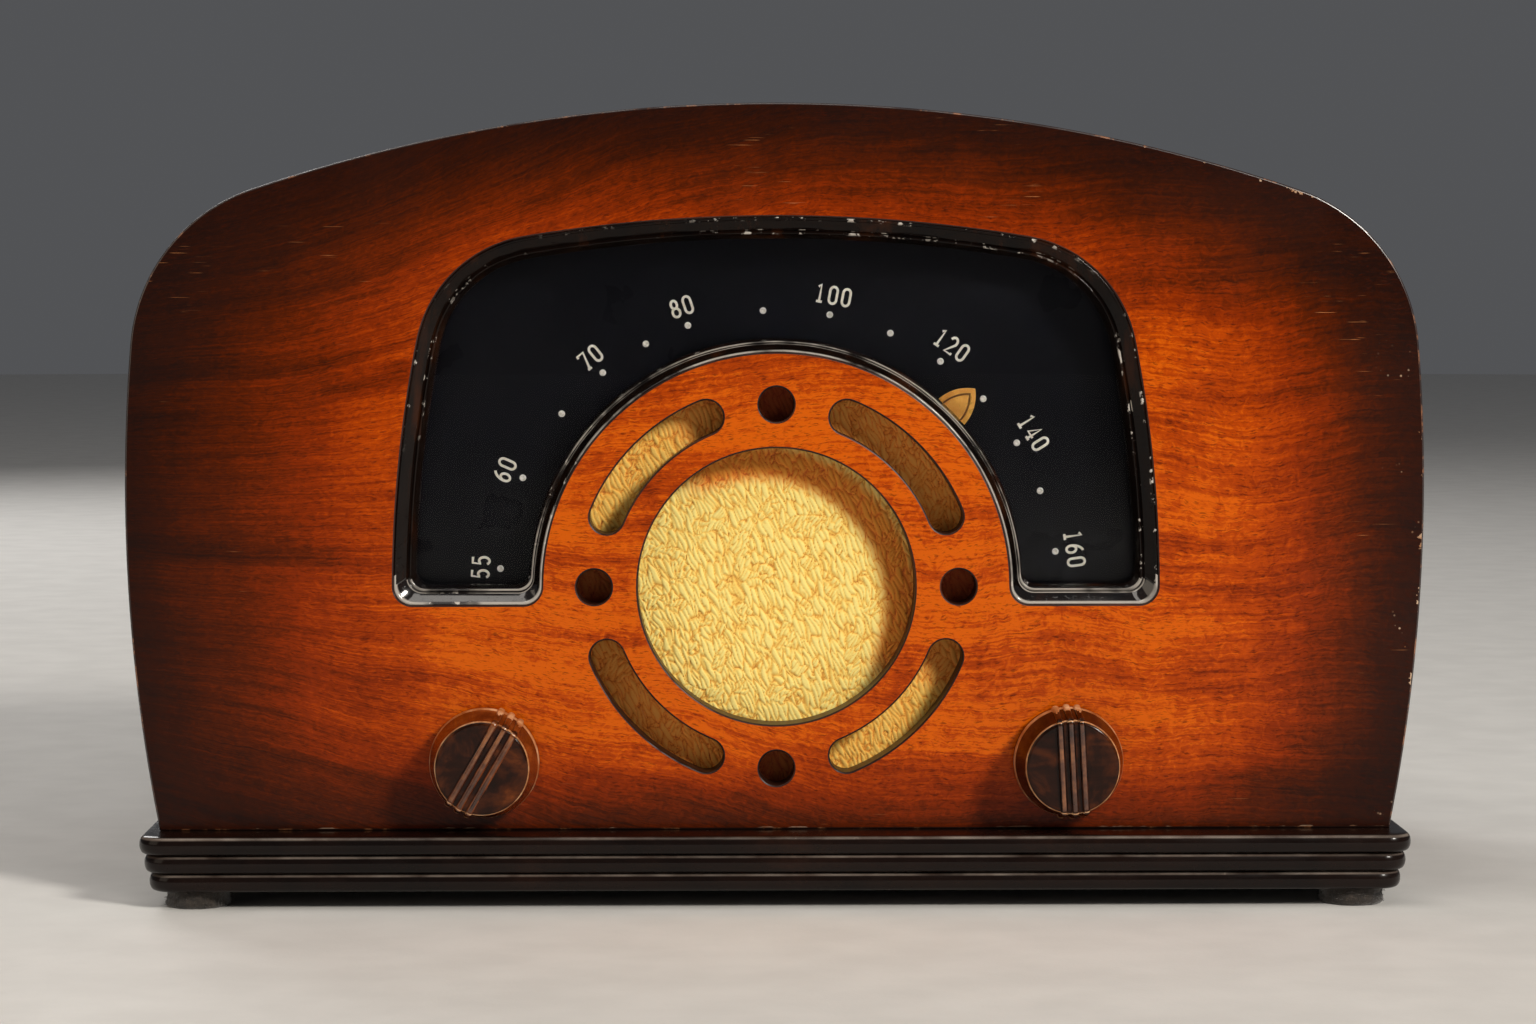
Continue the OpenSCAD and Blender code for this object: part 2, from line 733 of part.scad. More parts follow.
// Involute gear outline; a tooth points along +x
function involute(base, angle) =
    base * [cos(angle) + angle * PI / 180 * sin(angle), sin(angle) - angle * PI / 180 * cos(angle)];
function involute_at(base, r) = sqrt(pow(r / base, 2) - 1) * 180 / PI;
function turn2(p, a) = [p.x * cos(a) - p.y * sin(a), p.x * sin(a) + p.y * cos(a)];

module gear_outline(teeth) {
    pressure = 20;
    flank_steps = 4;
    pitch_r = teeth * tooth_module / 2;
    base = pitch_r * cos(pressure);
    tip_r = pitch_r + tooth_module;
    root_r = pitch_r - 1.25 * tooth_module;
    start_r = max(base, root_r);
    at_pitch = involute(base, involute_at(base, pitch_r));
    half_tooth = 90 / teeth - backlash / 4 / pitch_r * 180 / PI;
    lead = atan2(at_pitch.y, at_pitch.x) + half_tooth;
    flank = [for (i = [0:flank_steps])
        let (r = start_r + (tip_r - start_r) * i / flank_steps)
        turn2(involute(base, involute_at(base, r)), -lead)];
    root = root_r * [cos(lead), -sin(lead)];
    half = concat([root], flank);
    other = [for (i = [len(half) - 1:-1:0]) [half[i].x, -half[i].y]];
    polygon([for (k = [0:teeth - 1]) each [for (p = concat(half, other)) turn2(p, 360 * k / teeth)]]);
}

module drum_pinion() {
    color("goldenrod") difference() {
        slab(gear_t, gear_t + gear_face) translate([drum_x, drum_z]) rotate(-90) gear_outline(pinion_teeth);
        rod(drum_x, drum_z, gear_t - 1, gear_t + gear_face + 1, arbor_r + fit_gap);
    }
}

module gang_gear() {
    color("goldenrod") difference() {
        slab(gear_t, gear_t + gear_face) translate([gang_x, gang_z])
            rotate(90 + 180 / gear_teeth) gear_outline(gear_teeth);
        rod(gang_x, gang_z, gear_t - 1, gear_t + gear_face + 1, shaft_r + fit_gap);
        for (a = [0:60:300])
            rod(gang_x + 11 * cos(a), gang_z + 11 * sin(a), gear_t - 1, gear_t + gear_face + 1, 3.4);
    }
}

module shaft_bushings() {
    tuning_front = board_front_t + 1.5;
    color("darkgoldenrod") {
        sleeve(drum_x, drum_z, board_front_t, board_back_t, arbor_r + 2.5, arbor_r + fit_gap);
        sleeve(drum_x, drum_z, board_back_t, board_back_t + 1.4, arbor_r + 4.5, arbor_r + fit_gap);
        sleeve(knob_x, knob_z, tuning_front, apron_back_t + 5, bushing_r, shaft_r + fit_gap);
        sleeve(knob_x, knob_z, apron_t - 1.4, apron_t, bushing_r + 2.4, bushing_r);
        difference() {
            inward(knob_x, knob_z, apron_back_t) cylinder(h = 2.6, r = 7.4, $fn = 6);
            rod(knob_x, knob_z, apron_back_t - 1, apron_back_t + 4, bushing_r);
        }
    }
}

// Tuning capacitor

module gang_frame() {
    tall = gang_z + 14;
    color("silver") difference() {
        union() {
            for (t = [gang_front_t, gang_rear_t])
                plate(gang_x - gang_half_w, gang_x + gang_half_w, t, t + gang_plate_t, deck_z, tall);
            plate(gang_x - gang_half_w, gang_x + gang_half_w, gang_front_t + gang_plate_t + seam_gap,
                gang_rear_t - seam_gap, deck_z, deck_z + gang_plate_t);
        }
        rod(gang_x, gang_z, gang_front_t - 1, gang_rear_t + 5, shaft_r + fit_gap);
        for (a = stator_rod_angles) stator_rod(a, gang_front_t - 1, gang_rear_t + 5, stator_rod_r + 1.6);
    }
}

module stator_rod(angle, t0, t1, r)
    rod(gang_x + stator_rod_ring * cos(angle), gang_z + stator_rod_ring * sin(angle), t0, t1, r);

module gang_insulators() {
    color("ivory") for (t = [gang_front_t, gang_rear_t], a = stator_rod_angles)
        sleeve(gang_x + stator_rod_ring * cos(a), gang_z + stator_rod_ring * sin(a),
            t, t + gang_plate_t, stator_rod_r + 1.6, stator_rod_r);
}

// Stator blades lie below the shaft, half a blade pitch away from the rotor blades
module gang_stator() {
    color("gainsboro") {
        for (start = section_t, i = [0:blade_count])
            slab(start + (i - 0.5) * blade_pitch, start + (i - 0.5) * blade_pitch + blade_t)
                translate([gang_x, gang_z]) difference() {
                    union() {
                        intersection() {
                            circle(r = rotor_r + 2);
                            translate([-30, -31.5]) square([60, 30]);
                        }
                        for (a = stator_rod_angles) rotate(a) translate([rotor_r, -2.5])
                            square([stator_rod_ring - rotor_r + 3, 5]);
                    }
                    circle(r = rotor_hub_r + 1);
                    for (a = stator_rod_angles) rotate(a) translate([stator_rod_ring, 0])
                        circle(r = stator_rod_r, $fn = 32);
                }
        for (a = stator_rod_angles) stator_rod(a, gang_front_t, gang_rear_t + gang_plate_t, stator_rod_r);
    }
}

module gang_rotor() {
    color("lightgray") {
        rod(gang_x, gang_z, gear_t - 1, gang_rear_t + gang_plate_t + 2, shaft_r);
        for (start = section_t) {
            rod(gang_x, gang_z, start - 1.5, start + section_len - 0.2, rotor_hub_r);
            for (i = [0:blade_count - 1])
                slab(start + i * blade_pitch, start + i * blade_pitch + blade_t)
                    translate([gang_x, gang_z]) rotate(gang_turned + 180) intersection() {
                        circle(r = rotor_r);
                        translate([-30, 0]) square([60, 30]);
                    }
        }
    }
}

// Controls

// A tapered knob with three ribs across its face and down its sides
module knob(x, turn) {
    edge = 1.2;
    socket_len = knob_len - 4;
    color([0.22, 0.09, 0.05]) translate([x, front_y - knob_reach, knob_z]) rotate([0, turn, 0])
        rotate([-90, 0, 0]) difference() {
            union() {
                rotate_extrude() knob_section(0, edge);
                intersection() {
                    rotate_extrude() knob_section(rib_h, edge);
                    for (i = [-1:1]) translate([i * rib_pitch - rib_w / 2, -knob_r - 3, 0])
                        cube([rib_w, 2 * knob_r + 6, knob_len - 3]);
                }
            }
            translate([0, 0, knob_len - socket_len]) cylinder(h = socket_len + 1, r = shaft_r + fit_gap);
        }
}

// Half section of a knob; the front face lies at rib_h - grow, and the rim is a quarter circle
module knob_section(grow, edge) {
    front = rib_h - grow;
    face = knob_face_r + grow;
    rim = [for (a = [0:15:90]) [face - edge + edge * sin(a), front + edge - edge * cos(a)]];
    polygon(concat([[0, front]], rim, [[knob_r + grow, knob_len - 3], [knob_r + grow, knob_len], [0, knob_len]]));
}

module volume_knob() knob(-knob_x, volume_turn);
module tuning_knob() knob(knob_x, tuning_turn);

module tuning_shaft() {
    tip_t = -knob_reach + 5;
    pulley_front = panel_t + 3;
    color("silver") inward(knob_x, knob_z, 0) rotate_extrude() difference() {
        union() {
            square_to_axis(tip_t, apron_back_t + 9, shaft_r);
            square_to_axis(pulley_front, board_front_t + 1, pulley_cord_r + flange_over);
            square_to_axis(apron_back_t + 5.3, apron_back_t + 6.8, shaft_r + 1.6);
        }
        cord_groove(pulley_cord_r);
    }
}

module volume_shaft() {
    color("silver") {
        rod(-knob_x, knob_z, -knob_reach + 5, apron_back_t + 10, shaft_r);
        rod(-knob_x, knob_z, apron_back_t + 4, apron_back_t + 5.5, 8);
    }
}

module volume_control() {
    can_r = knob_x - notch_half_w - sheet_t - 0.7;
    can_len = 12;
    color("dimgray") difference() {
        union() {
            rod(-knob_x, knob_z, board_front_t + 1.5, apron_back_t, bushing_r);
            inward(-knob_x, knob_z, apron_t - 2.4) cylinder(h = 2.4, r = 7.4, $fn = 6);
            rod(-knob_x, knob_z, apron_back_t, apron_back_t + can_len, can_r);
        }
        rod(-knob_x, knob_z, 0, apron_back_t + can_len - 1.5, shaft_r + fit_gap);
        rod(-knob_x, knob_z, apron_back_t + 2.5, apron_back_t + can_len - 2.5, can_r - 2);
    }
}

// Baffle and speaker

module baffle_board() {
    color("wheat") difference() {
        slab(board_front_t, board_back_t) translate([-board_half_w, base_z])
            square([2 * board_half_w, board_h]);
        rod(0, grille_z, board_front_t - 1, board_back_t + 1, hub_r);
        rod(drum_x, drum_z, board_front_t - 1, board_back_t + 1, arbor_r + 2.5);
        for (s = [-1, 1]) rod(s * knob_x, knob_z, board_front_t - 1, board_back_t + 1, 8.4);
        speaker_screw_holes(board_front_t - 1, board_back_t + 1);
    }
}

module speaker_screw_holes(t0, t1)
    for (a = speaker_screw_angles)
        rod(speaker_screw_r * cos(a), grille_z + speaker_screw_r * sin(a), t0, t1, screw_r + screw_gap);

module speaker_gasket() {
    color([0.25, 0.23, 0.22]) difference() {
        sleeve(0, grille_z, board_back_t, gasket_back_t, flange_r, hub_bore_r);
        speaker_screw_holes(board_back_t - 1, gasket_back_t + 1);
    }
}

module speaker_frame() {
    b = basket_t;
    inner_r = hub_bore_r + 1;
    color([0.3, 0.31, 0.33]) difference() {
        inward(0, grille_z, 0) rotate_extrude($fn = 120) {
            translate([inner_r, flange_front_t]) square([flange_r - inner_r, b]);
            polygon([[inner_r, flange_back_t], [inner_r + b, flange_back_t],
                [ledge_r + b, ledge_t + b], [ledge_r, ledge_t + b], [ledge_r, ledge_t - 0.5]]);
            translate([well_r - b, ledge_t]) square([ledge_r - well_r + b, b]);
            translate([well_r - b, ledge_t + b]) square([b, well_t - ledge_t - b]);
            translate([coil_r + 3, well_t]) square([well_r - coil_r - 3, b]);
        }
        for (a = [0:90:270]) translate([0, 0, grille_z]) rotate([0, a, 0])
            translate([-17, front_y + flange_back_t + 4, ledge_r]) cube([34, 13, 40]);
        speaker_screw_holes(flange_front_t - 1, flange_back_t + 1);
    }
}

module cone_surround() {
    root_t = gasket_back_t;
    s = surround_t;
    roll = [for (i = [0:12]) [cone_r + 0.6 * i, root_t - 0.45 * sin(i * 60)]];
    color([0.2, 0.16, 0.13]) inward(0, grille_z, 0) rotate_extrude($fn = 96) {
        polygon(concat(roll, [for (i = [12:-1:0]) roll[i] + [0, s]]));
        translate([cone_r + 7.2, root_t]) square([flange_r - 6 - cone_r - 7.2, s]);
    }
}

module speaker_cone() {
    w = 0.8;
    top = gasket_back_t + surround_t;
    cap_h = 6;
    cap = [for (a = [0:10:90]) [coil_r * cos(a), cone_deep_t - cap_h * sin(a)]];
    cap_back = [for (a = [90:-10:0]) [(coil_r - w) * cos(a), cone_deep_t + w - cap_h * sin(a)]];
    color([0.33, 0.27, 0.2]) inward(0, grille_z, 0) rotate_extrude($fn = 96)
        polygon(concat([[cone_r + 1, top], [cone_r - 1.4, top]], cap, cap_back,
            [[coil_r, cone_deep_t + w], [cone_r - 0.4, top + w], [cone_r + 1, top + w]]));
}

module voice_coil() {
    color("peru") {
        sleeve(0, grille_z, cone_deep_t + 0.8, well_t + 7, coil_r, coil_r - 0.5);
        sleeve(0, grille_z, well_t, well_t + 6, coil_r + 0.5, coil_r);
    }
}

module speaker_spider() {
    ripple = [for (i = [0:16]) [coil_r + (ledge_r - coil_r) * i / 16, ledge_t - 0.8 + 0.3 * cos(i * 90)]];
    color([0.75, 0.6, 0.3]) inward(0, grille_z, 0) rotate_extrude($fn = 96)
        polygon(concat(ripple, [for (i = [16:-1:0]) ripple[i] + [0, 0.5]]));
}

module speaker_magnet() {
    wall = 4;
    plate = 4;
    gap_out = coil_r + 0.5 + coil_gap;
    gap_in = coil_r - 0.5 - coil_gap;
    front = well_t + basket_t;
    back = front + yoke_len;
    color([0.55, 0.56, 0.58]) inward(0, grille_z, 0) rotate_extrude($fn = 120) {
        translate([gap_out, front]) square([yoke_r - gap_out, plate]);
        translate([yoke_r - wall, front + plate]) square([wall, yoke_len - plate]);
        translate([0, back - plate]) square([yoke_r - wall, plate]);
        square_to_axis(front - 0.5, back - plate, gap_in);
    }
}

module output_transformer() {
    core = [44, 18, 36];
    coil = [26, 34, 22];
    x = transformer_place.x;
    y = front_y + transformer_place.y;
    leg = 8;
    color([0.35, 0.33, 0.32]) difference() {
        union() {
            translate([x - core.x / 2, y - core.y / 2, deck_z]) cube(core);
            translate([x - coil.x / 2, y - coil.y / 2, deck_z + leg - 1]) cube(coil);
            for (s = [-1, 1]) translate([x + s * (core.x / 2 + 4) - 4, y - 6, deck_z]) cube([8, 12, 1.2]);
        }
        for (s = [-1, 1]) translate([x + s * (core.x / 2 + 4), y, deck_z - 1]) cylinder(h = 4, r = 1.6);
    }
}

// Chassis and what stands on it

// The chassis pan as spot welded plates: three for the deck, then its walls and its four screw tabs
module chassis() {
    deck_low = deck_z - sheet_t;
    wall_z = deck_low - seam_gap;
    wall_front = apron_back_t + seam_gap;
    wall_rear = pan_rear_t - sheet_t - seam_gap;
    color([0.62, 0.63, 0.62]) difference() {
        union() {
            plate(-pan_half_w, -notch_half_w - seam_gap, apron_t, pan_rear_t, deck_low, deck_z);
            plate(-notch_half_w, pan_half_w, notch_t, pan_rear_t, deck_low, deck_z);
            plate(notch_half_w, pan_half_w, apron_t, notch_t - seam_gap, deck_low, deck_z);
            plate(-notch_half_w - sheet_t, notch_half_w + sheet_t, notch_t, notch_t + sheet_t, base_z, wall_z);
            plate(-pan_half_w, pan_half_w, pan_rear_t - sheet_t, pan_rear_t, base_z, wall_z);
            for (s = [0, 1]) mirror([s, 0, 0]) {
                plate(notch_half_w, pan_half_w, apron_t, apron_back_t, base_z, wall_z);
                plate(notch_half_w, notch_half_w + sheet_t, wall_front, notch_t - seam_gap, base_z, wall_z);
                plate(pan_half_w - sheet_t, pan_half_w, wall_front, wall_rear, base_z, wall_z);
                for (t = chassis_screw_ts)
                    plate(chassis_screw_x - tab_w / 2, pan_half_w - sheet_t - seam_gap, t - tab_w / 2,
                        t + tab_w / 2, base_z, base_z + sheet_t);
            }
        }
        for (p = tube_places) translate([p.x, front_y + p.y, deck_z - 5]) cylinder(h = 10, r = socket_hole_r + 1);
        for (s = [-1, 1]) rod(s * knob_x, knob_z, apron_t - 1, apron_back_t + 1, bushing_r + 0.1);
        rod(grommet_x, grommet_z, pan_rear_t - 4, pan_rear_t + 1, cord_hole_r + 1.6);
        for (s = [-1, 1], t = chassis_screw_ts)
            translate([s * chassis_screw_x, front_y + t, base_z - 1]) cylinder(h = 4, r = chassis_screw_r + 0.2);
    }
}

module cord_grommet() {
    lip = 1.2;
    front = pan_rear_t - sheet_t;
    color([0.12, 0.1, 0.1]) {
        sleeve(grommet_x, grommet_z, front - lip, front, cord_hole_r + 3.2, cord_hole_r);
        sleeve(grommet_x, grommet_z, front, pan_rear_t, cord_hole_r + 1.6, cord_hole_r);
        sleeve(grommet_x, grommet_z, pan_rear_t, pan_rear_t + lip, cord_hole_r + 3.2, cord_hole_r);
    }
}

module tube_sockets() {
    color([0.25, 0.12, 0.06]) for (p = tube_places) translate([p.x, front_y + p.y, deck_z])
        difference() {
            cylinder(h = socket_t, r = 15.5);
            translate([0, 0, -1]) cylinder(h = socket_t + 2, r = socket_hole_r);
        }
}

module tube_bases() {
    color([0.1, 0.09, 0.09]) for (p = tube_places) translate([p.x, front_y + p.y, deck_z + socket_t]) {
        cylinder(h = tube_base_h, r = tube_base_r);
        for (a = [0:45:315]) rotate(a) translate([tube_pin_ring, 0, -tube_pin_len])
            cylinder(h = tube_pin_len, r = tube_pin_r, $fn = 16);
    }
}

// A tube's glass: a straight bulb with a round shoulder, one millimetre thick
module tube_glass(index) {
    p = tube_places[index];
    wall = 1;
    neck = tube_base_r - 0.6;
    round_r = 9;
    color([0.8, 0.85, 0.88, 0.35]) translate([p.x, front_y + p.y, deck_z + socket_t + tube_base_h])
        rotate_extrude() difference() {
            bulb_section(0, neck, round_r);
            bulb_section(wall, neck, round_r);
        }
}

module bulb_section(inset, neck, round_r) {
    r = bulb_r - inset;
    curve = [for (a = [0:10:90]) [r - round_r + round_r * cos(a), bulb_h - round_r - inset + round_r * sin(a)]];
    polygon(concat([[0, inset], [neck - inset, inset], [r, 5]], curve, [[0, bulb_h - inset]]));
}

module converter_tube() tube_glass(0);
module if_amplifier_tube() tube_glass(1);
module detector_tube() tube_glass(2);
module output_tube() tube_glass(3);
module rectifier_tube() tube_glass(4);

// Plates and mica discs inside the tubes
module tube_elements() {
    foot = 1;
    color([0.2, 0.2, 0.21]) for (p = tube_places)
        translate([p.x, front_y + p.y, deck_z + socket_t + tube_base_h + foot]) {
            cylinder(h = 8, r = 2.5);
            translate([0, 0, 8]) cylinder(h = 0.8, r = 12);
            translate([0, 0, 8.8]) cylinder(h = 26, r = 7.5);
            translate([0, 0, 34.8]) cylinder(h = 0.8, r = 12);
        }
}

module if_cans() {
    color([0.78, 0.79, 0.8]) for (p = can_places) translate([p.x, front_y + p.y, deck_z])
        difference() {
            translate([-can_w / 2, -can_w / 2, 0]) cube([can_w, can_w, can_h]);
            translate([-can_w / 2 + can_wall, -can_w / 2 + can_wall, -1])
                cube([can_w - 2 * can_wall, can_w - 2 * can_wall, can_h + 1 - can_wall]);
            for (s = [-1, 1]) translate([s * 7, 0, can_h - 3]) cylinder(h = 6, r = 2.2);
        }
}

module filter_capacitor() {
    r = 12.7;
    tall = 62;
    color([0.8, 0.81, 0.82]) translate([capacitor_place.x, front_y + capacitor_place.y, deck_z])
        rotate_extrude() polygon([[0, 0], [r + 2.5, 0], [r + 2.5, 1.2], [r, 1.2], [r, tall - 2], [r - 2, tall], [0, tall]]);
}

// Back

module back_cover() {
    low_z = deck_z + cover_gap;
    color([0.42, 0.3, 0.18]) difference() {
        slab(cover_front_t, cover_back_t) cabinet_outline(shell_wall + loose_gap, low_z);
        for (row = [0:2], i = [-5:5]) rod(i * 18, low_z + 22 + row * 18, cover_front_t - 1, cover_back_t + 1, vent_r);
        screw_holes(cover_screw_places, cover_front_t - 1, cover_back_t + 1);
    }
}

module loop_antenna() {
    ring_w = 10;
    ring_out = shell_wall + cleat_in + 4;
    low_z = deck_z + cover_gap + 6;
    color([0.55, 0.3, 0.15]) slab(cover_front_t - 1.6, cover_front_t) difference() {
        cabinet_outline(ring_out, low_z);
        cabinet_outline(ring_out + ring_w, low_z + ring_w);
    }
}

module cover_screws() {
    color("goldenrod") for (p = cover_screw_places)
        screw(p.x, p.y, cover_front_t - cleat_depth + 2, cover_back_t);
}

module chassis_screws() {
    low_z = base_z - 2 * slat_t;
    nut_z = base_z + sheet_t;
    color("silver") for (s = [-1, 1], t = chassis_screw_ts)
        translate([s * chassis_screw_x, front_y + t, 0]) {
            translate([0, 0, low_z - 2.5]) cylinder(h = 2.5, r = 2 * chassis_screw_r);
            translate([0, 0, low_z]) cylinder(h = nut_z + 6 - low_z, r = chassis_screw_r);
            translate([0, 0, nut_z]) cylinder(h = 3, r = 2 * chassis_screw_r, $fn = 6);
        }
}

lamp_x = -60;
lamp_shelf_z = base_z + board_h + 10;

module lamp_bracket() {
    half = 7;
    strip_t = 1.2;
    shelf_len = 15;
    lap = 20;
    bend_t = board_back_t + strip_t;
    color("silver") {
        plate(lamp_x - half, lamp_x + half, board_back_t, bend_t, base_z + board_h - lap, lamp_shelf_z);
        plate(lamp_x - half, lamp_x + half, bend_t, bend_t + shelf_len, lamp_shelf_z - strip_t, lamp_shelf_z);
    }
}

module pilot_lamp() {
    cap_r = 5;
    cap_h = 11;
    globe_r = 5.6;
    globe_z = 15.4;
    color([0.95, 0.9, 0.7]) translate([lamp_x, front_y + board_back_t + 9, lamp_shelf_z])
        rotate_extrude() polygon(concat([[0, 0], [cap_r, 0], [cap_r, cap_h]],
            [for (a = [-50:10:90]) [globe_r * cos(a), globe_z + globe_r * sin(a)]]));
}

front_panel();
cabinet_shell();
plinth_top();
plinth_middle();
plinth_bottom();
foot_front_left();
foot_front_right();
foot_rear_left();
foot_rear_right();
glue_blocks();
baffle_board();
hub_ring();
pointer_ring();
pointer();
grille_cloth();
dial_bezel();
dial_glass();
dial_frame();
dial_plate();
wood_screws();
dial_cord();
drive_drum();
drum_pinion();
shaft_bushings();
tuning_shaft();
tuning_knob();
volume_knob();
volume_shaft();
volume_control();
gang_gear();
gang_rotor();
gang_stator();
gang_frame();
gang_insulators();
chassis();
speaker_gasket();
speaker_frame();
speaker_cone();
cone_surround();
voice_coil();
speaker_spider();
speaker_magnet();
output_transformer();
tube_sockets();
tube_bases();
converter_tube();
if_amplifier_tube();
detector_tube();
output_tube();
rectifier_tube();
tube_elements();
if_cans();
filter_capacitor();
back_cover();
loop_antenna();
pilot_lamp();
lamp_bracket();
cord_grommet();
cover_screws();
chassis_screws();
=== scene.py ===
# %% [markdown]
# # Dressing a wooden table radio
#
# The packed CAD model gives every piece its size and place. This lesson dresses it: it sets up the camera,
# lamps and floor, builds the pieces whose looks need finer modelling, and gives every piece a finish made
# from nodes. Lengths are written in millimetres and turned into metres by one helper.

# %% Load the packed frame
import json
import math
import random

import bmesh
import bpy
from mathutils import Matrix, Vector, noise

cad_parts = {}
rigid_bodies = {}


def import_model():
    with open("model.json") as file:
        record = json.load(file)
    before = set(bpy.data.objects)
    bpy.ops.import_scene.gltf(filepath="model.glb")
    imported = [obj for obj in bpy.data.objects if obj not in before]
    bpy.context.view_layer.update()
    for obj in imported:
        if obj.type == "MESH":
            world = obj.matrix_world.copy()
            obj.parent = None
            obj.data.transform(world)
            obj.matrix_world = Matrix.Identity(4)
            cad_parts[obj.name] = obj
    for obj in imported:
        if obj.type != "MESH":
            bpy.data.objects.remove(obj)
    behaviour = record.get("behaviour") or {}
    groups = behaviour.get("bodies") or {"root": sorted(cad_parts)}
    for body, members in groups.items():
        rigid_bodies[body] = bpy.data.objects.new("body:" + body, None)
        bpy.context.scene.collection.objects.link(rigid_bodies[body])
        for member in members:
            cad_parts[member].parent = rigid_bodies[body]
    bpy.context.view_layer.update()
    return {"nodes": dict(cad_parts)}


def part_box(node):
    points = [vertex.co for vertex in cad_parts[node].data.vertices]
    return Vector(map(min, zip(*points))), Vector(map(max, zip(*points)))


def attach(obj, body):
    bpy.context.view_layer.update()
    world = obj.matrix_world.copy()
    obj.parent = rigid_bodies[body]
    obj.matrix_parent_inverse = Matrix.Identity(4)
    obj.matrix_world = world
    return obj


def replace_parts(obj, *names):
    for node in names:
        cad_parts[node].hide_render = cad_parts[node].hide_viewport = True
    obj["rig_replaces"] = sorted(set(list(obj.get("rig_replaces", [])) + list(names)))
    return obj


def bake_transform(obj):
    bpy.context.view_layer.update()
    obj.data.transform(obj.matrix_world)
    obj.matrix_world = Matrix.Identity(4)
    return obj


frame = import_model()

cad = frame["nodes"]

# %% [markdown]
# ## A common way to say where things are
#
# A cabinet maker measures a front panel from its face: so far across, so far up, so deep in. The helper
# `at` does the same. Depth is counted from the panel's front face towards the back, and the face's own
# place is asked of the CAD model, so that nothing has to be fitted by eye.

# %% Millimetres and depths
MM = 0.001
PER_METRE = 1000
face_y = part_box("front_panel")[0].y / MM
plinth_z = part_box("front_panel")[0].z / MM


def at(x, depth, z):
    """A point across, in depth behind the panel's face, and up, all in millimetres."""
    return Vector((x * MM, (face_y + depth) * MM, z * MM))


print("the panel's face lies at y =", round(face_y, 2), "and the plinth's top at z =", round(plinth_z, 2))

# %% [markdown]
# ## The camera
#
# The picture was taken from straight in front with a long lens, a little above the middle of the cabinet
# and looking slightly down. A long lens keeps the arched outline from swelling. The lens is given as for a
# 36 mm wide film, and the turns are small: one degree to the right and three and a half down.

# %% Place the camera
lens_data = bpy.data.cameras.new("camera")
lens_data.sensor_fit = "HORIZONTAL"
lens_data.sensor_width = 36
lens_data.lens = 87.07
lens_data.clip_end = 50
camera = bpy.data.objects.new("camera", lens_data)
camera.location = at(-20.6, -998.4, 167.5)
camera.rotation_euler = (math.radians(90 - 3.51), 0, math.radians(-1.05))
bpy.context.collection.objects.link(camera)
bpy.context.scene.camera = camera
print("camera stands", round(-camera.location.y, 3), "m in front of the radio's middle")

# %% [markdown]
# ## Floor, room and lamps
#
# A radio is photographed on a plain sweep of pale paper. The room light is a flat grey from all sides, and
# the levels are set so that a colour comes out about as it is written.

# %% Roll out the floor
view = bpy.context.scene.view_settings
view.view_transform = "Standard"

room = bpy.data.worlds.new("room")
bpy.context.scene.world = room
room.use_nodes = True
room_light = room.node_tree.nodes["Background"]
room_light.inputs["Color"].default_value = (0.085, 0.087, 0.092, 1)
room_light.inputs["Strength"].default_value = 1.0

floor_mesh = bpy.data.meshes.new("floor")
floor_shape = bmesh.new()
bmesh.ops.create_circle(floor_shape, cap_ends=True, radius=6.0, segments=96)
floor_shape.to_mesh(floor_mesh)
floor_shape.free()
floor = bpy.data.objects.new("floor", floor_mesh)
bpy.context.collection.objects.link(floor)
print("floor:", floor_mesh.polygons[0].loop_total, "sides")

# %% [markdown]
# ## Four soft lamps
#
# The shadow of the speaker hole on the cloth tells where the main lamp stood: to the right, above, and small
# enough to leave a clear edge. A weak warm lamp opens up the shadows from the left. A long narrow one
# overhead is there for its reflection, a bright line along the feet of the black bevel. The last one stands
# behind and lifts the rim of the cabinet off the background. Area lamps suit a lacquered radio, because they
# are seen again in its gloss.

# %% Set up the lamps


def lamp(name, place, aim, width, watts, tint, height=None):
    """A soft lamp, square unless a height is given, that stands at one point and shines at another."""
    data = bpy.data.lights.new(name, "AREA")
    data.shape = "RECTANGLE"
    data.size = width
    data.size_y = height or width
    data.energy = watts
    data.color = tint
    stand = bpy.data.objects.new(name, data)
    stand.location = place
    stand.rotation_euler = (Vector(aim) - Vector(place)).to_track_quat("-Z", "Y").to_euler()
    bpy.context.collection.objects.link(stand)
    return stand


middle = (0, 0, 0.1)
lamp("key_lamp", (1.25, -1.51, 1.18), middle, 0.42, 38.0, (1.0, 0.95, 0.88))
lamp("fill_lamp", (-1.3, -1.0, 0.7), middle, 1.1, 3.6, (1.0, 0.86, 0.68))
lamp("top_lamp", (-0.30, -0.46, 1.5), middle, 1.9, 6.0, (1.0, 0.94, 0.87), 0.42)
lamp("back_lamp", (-0.8, 1.6, 1.1), middle, 0.8, 12.0, (1.0, 0.98, 0.96))

# %% [markdown]
# ## A small bench of material tools
#
# Every finish below is a Principled shader fed by a few noises. To keep each recipe short, one class holds
# the node tree and offers the steps that a finisher would name: a cloud of noise, a blend of two colours,
# a scale of tones, and a bump that makes the surface rough to the touch. Colours are written as they would be
# read from a screen and turned into light values by `paint`.

# %% Screen colours


def paint(r, g, b):
    """A screen colour from 0 to 255 as a linear colour with full alpha."""
    steps = [c / 255 for c in (r, g, b)]
    return tuple([c / 12.92 if c < 0.04045 else ((c + 0.055) / 1.055) ** 2.4 for c in steps] + [1.0])


print("middle grey on a screen is", round(paint(128, 128, 128)[0], 3), "as light")

# %% The finish bench


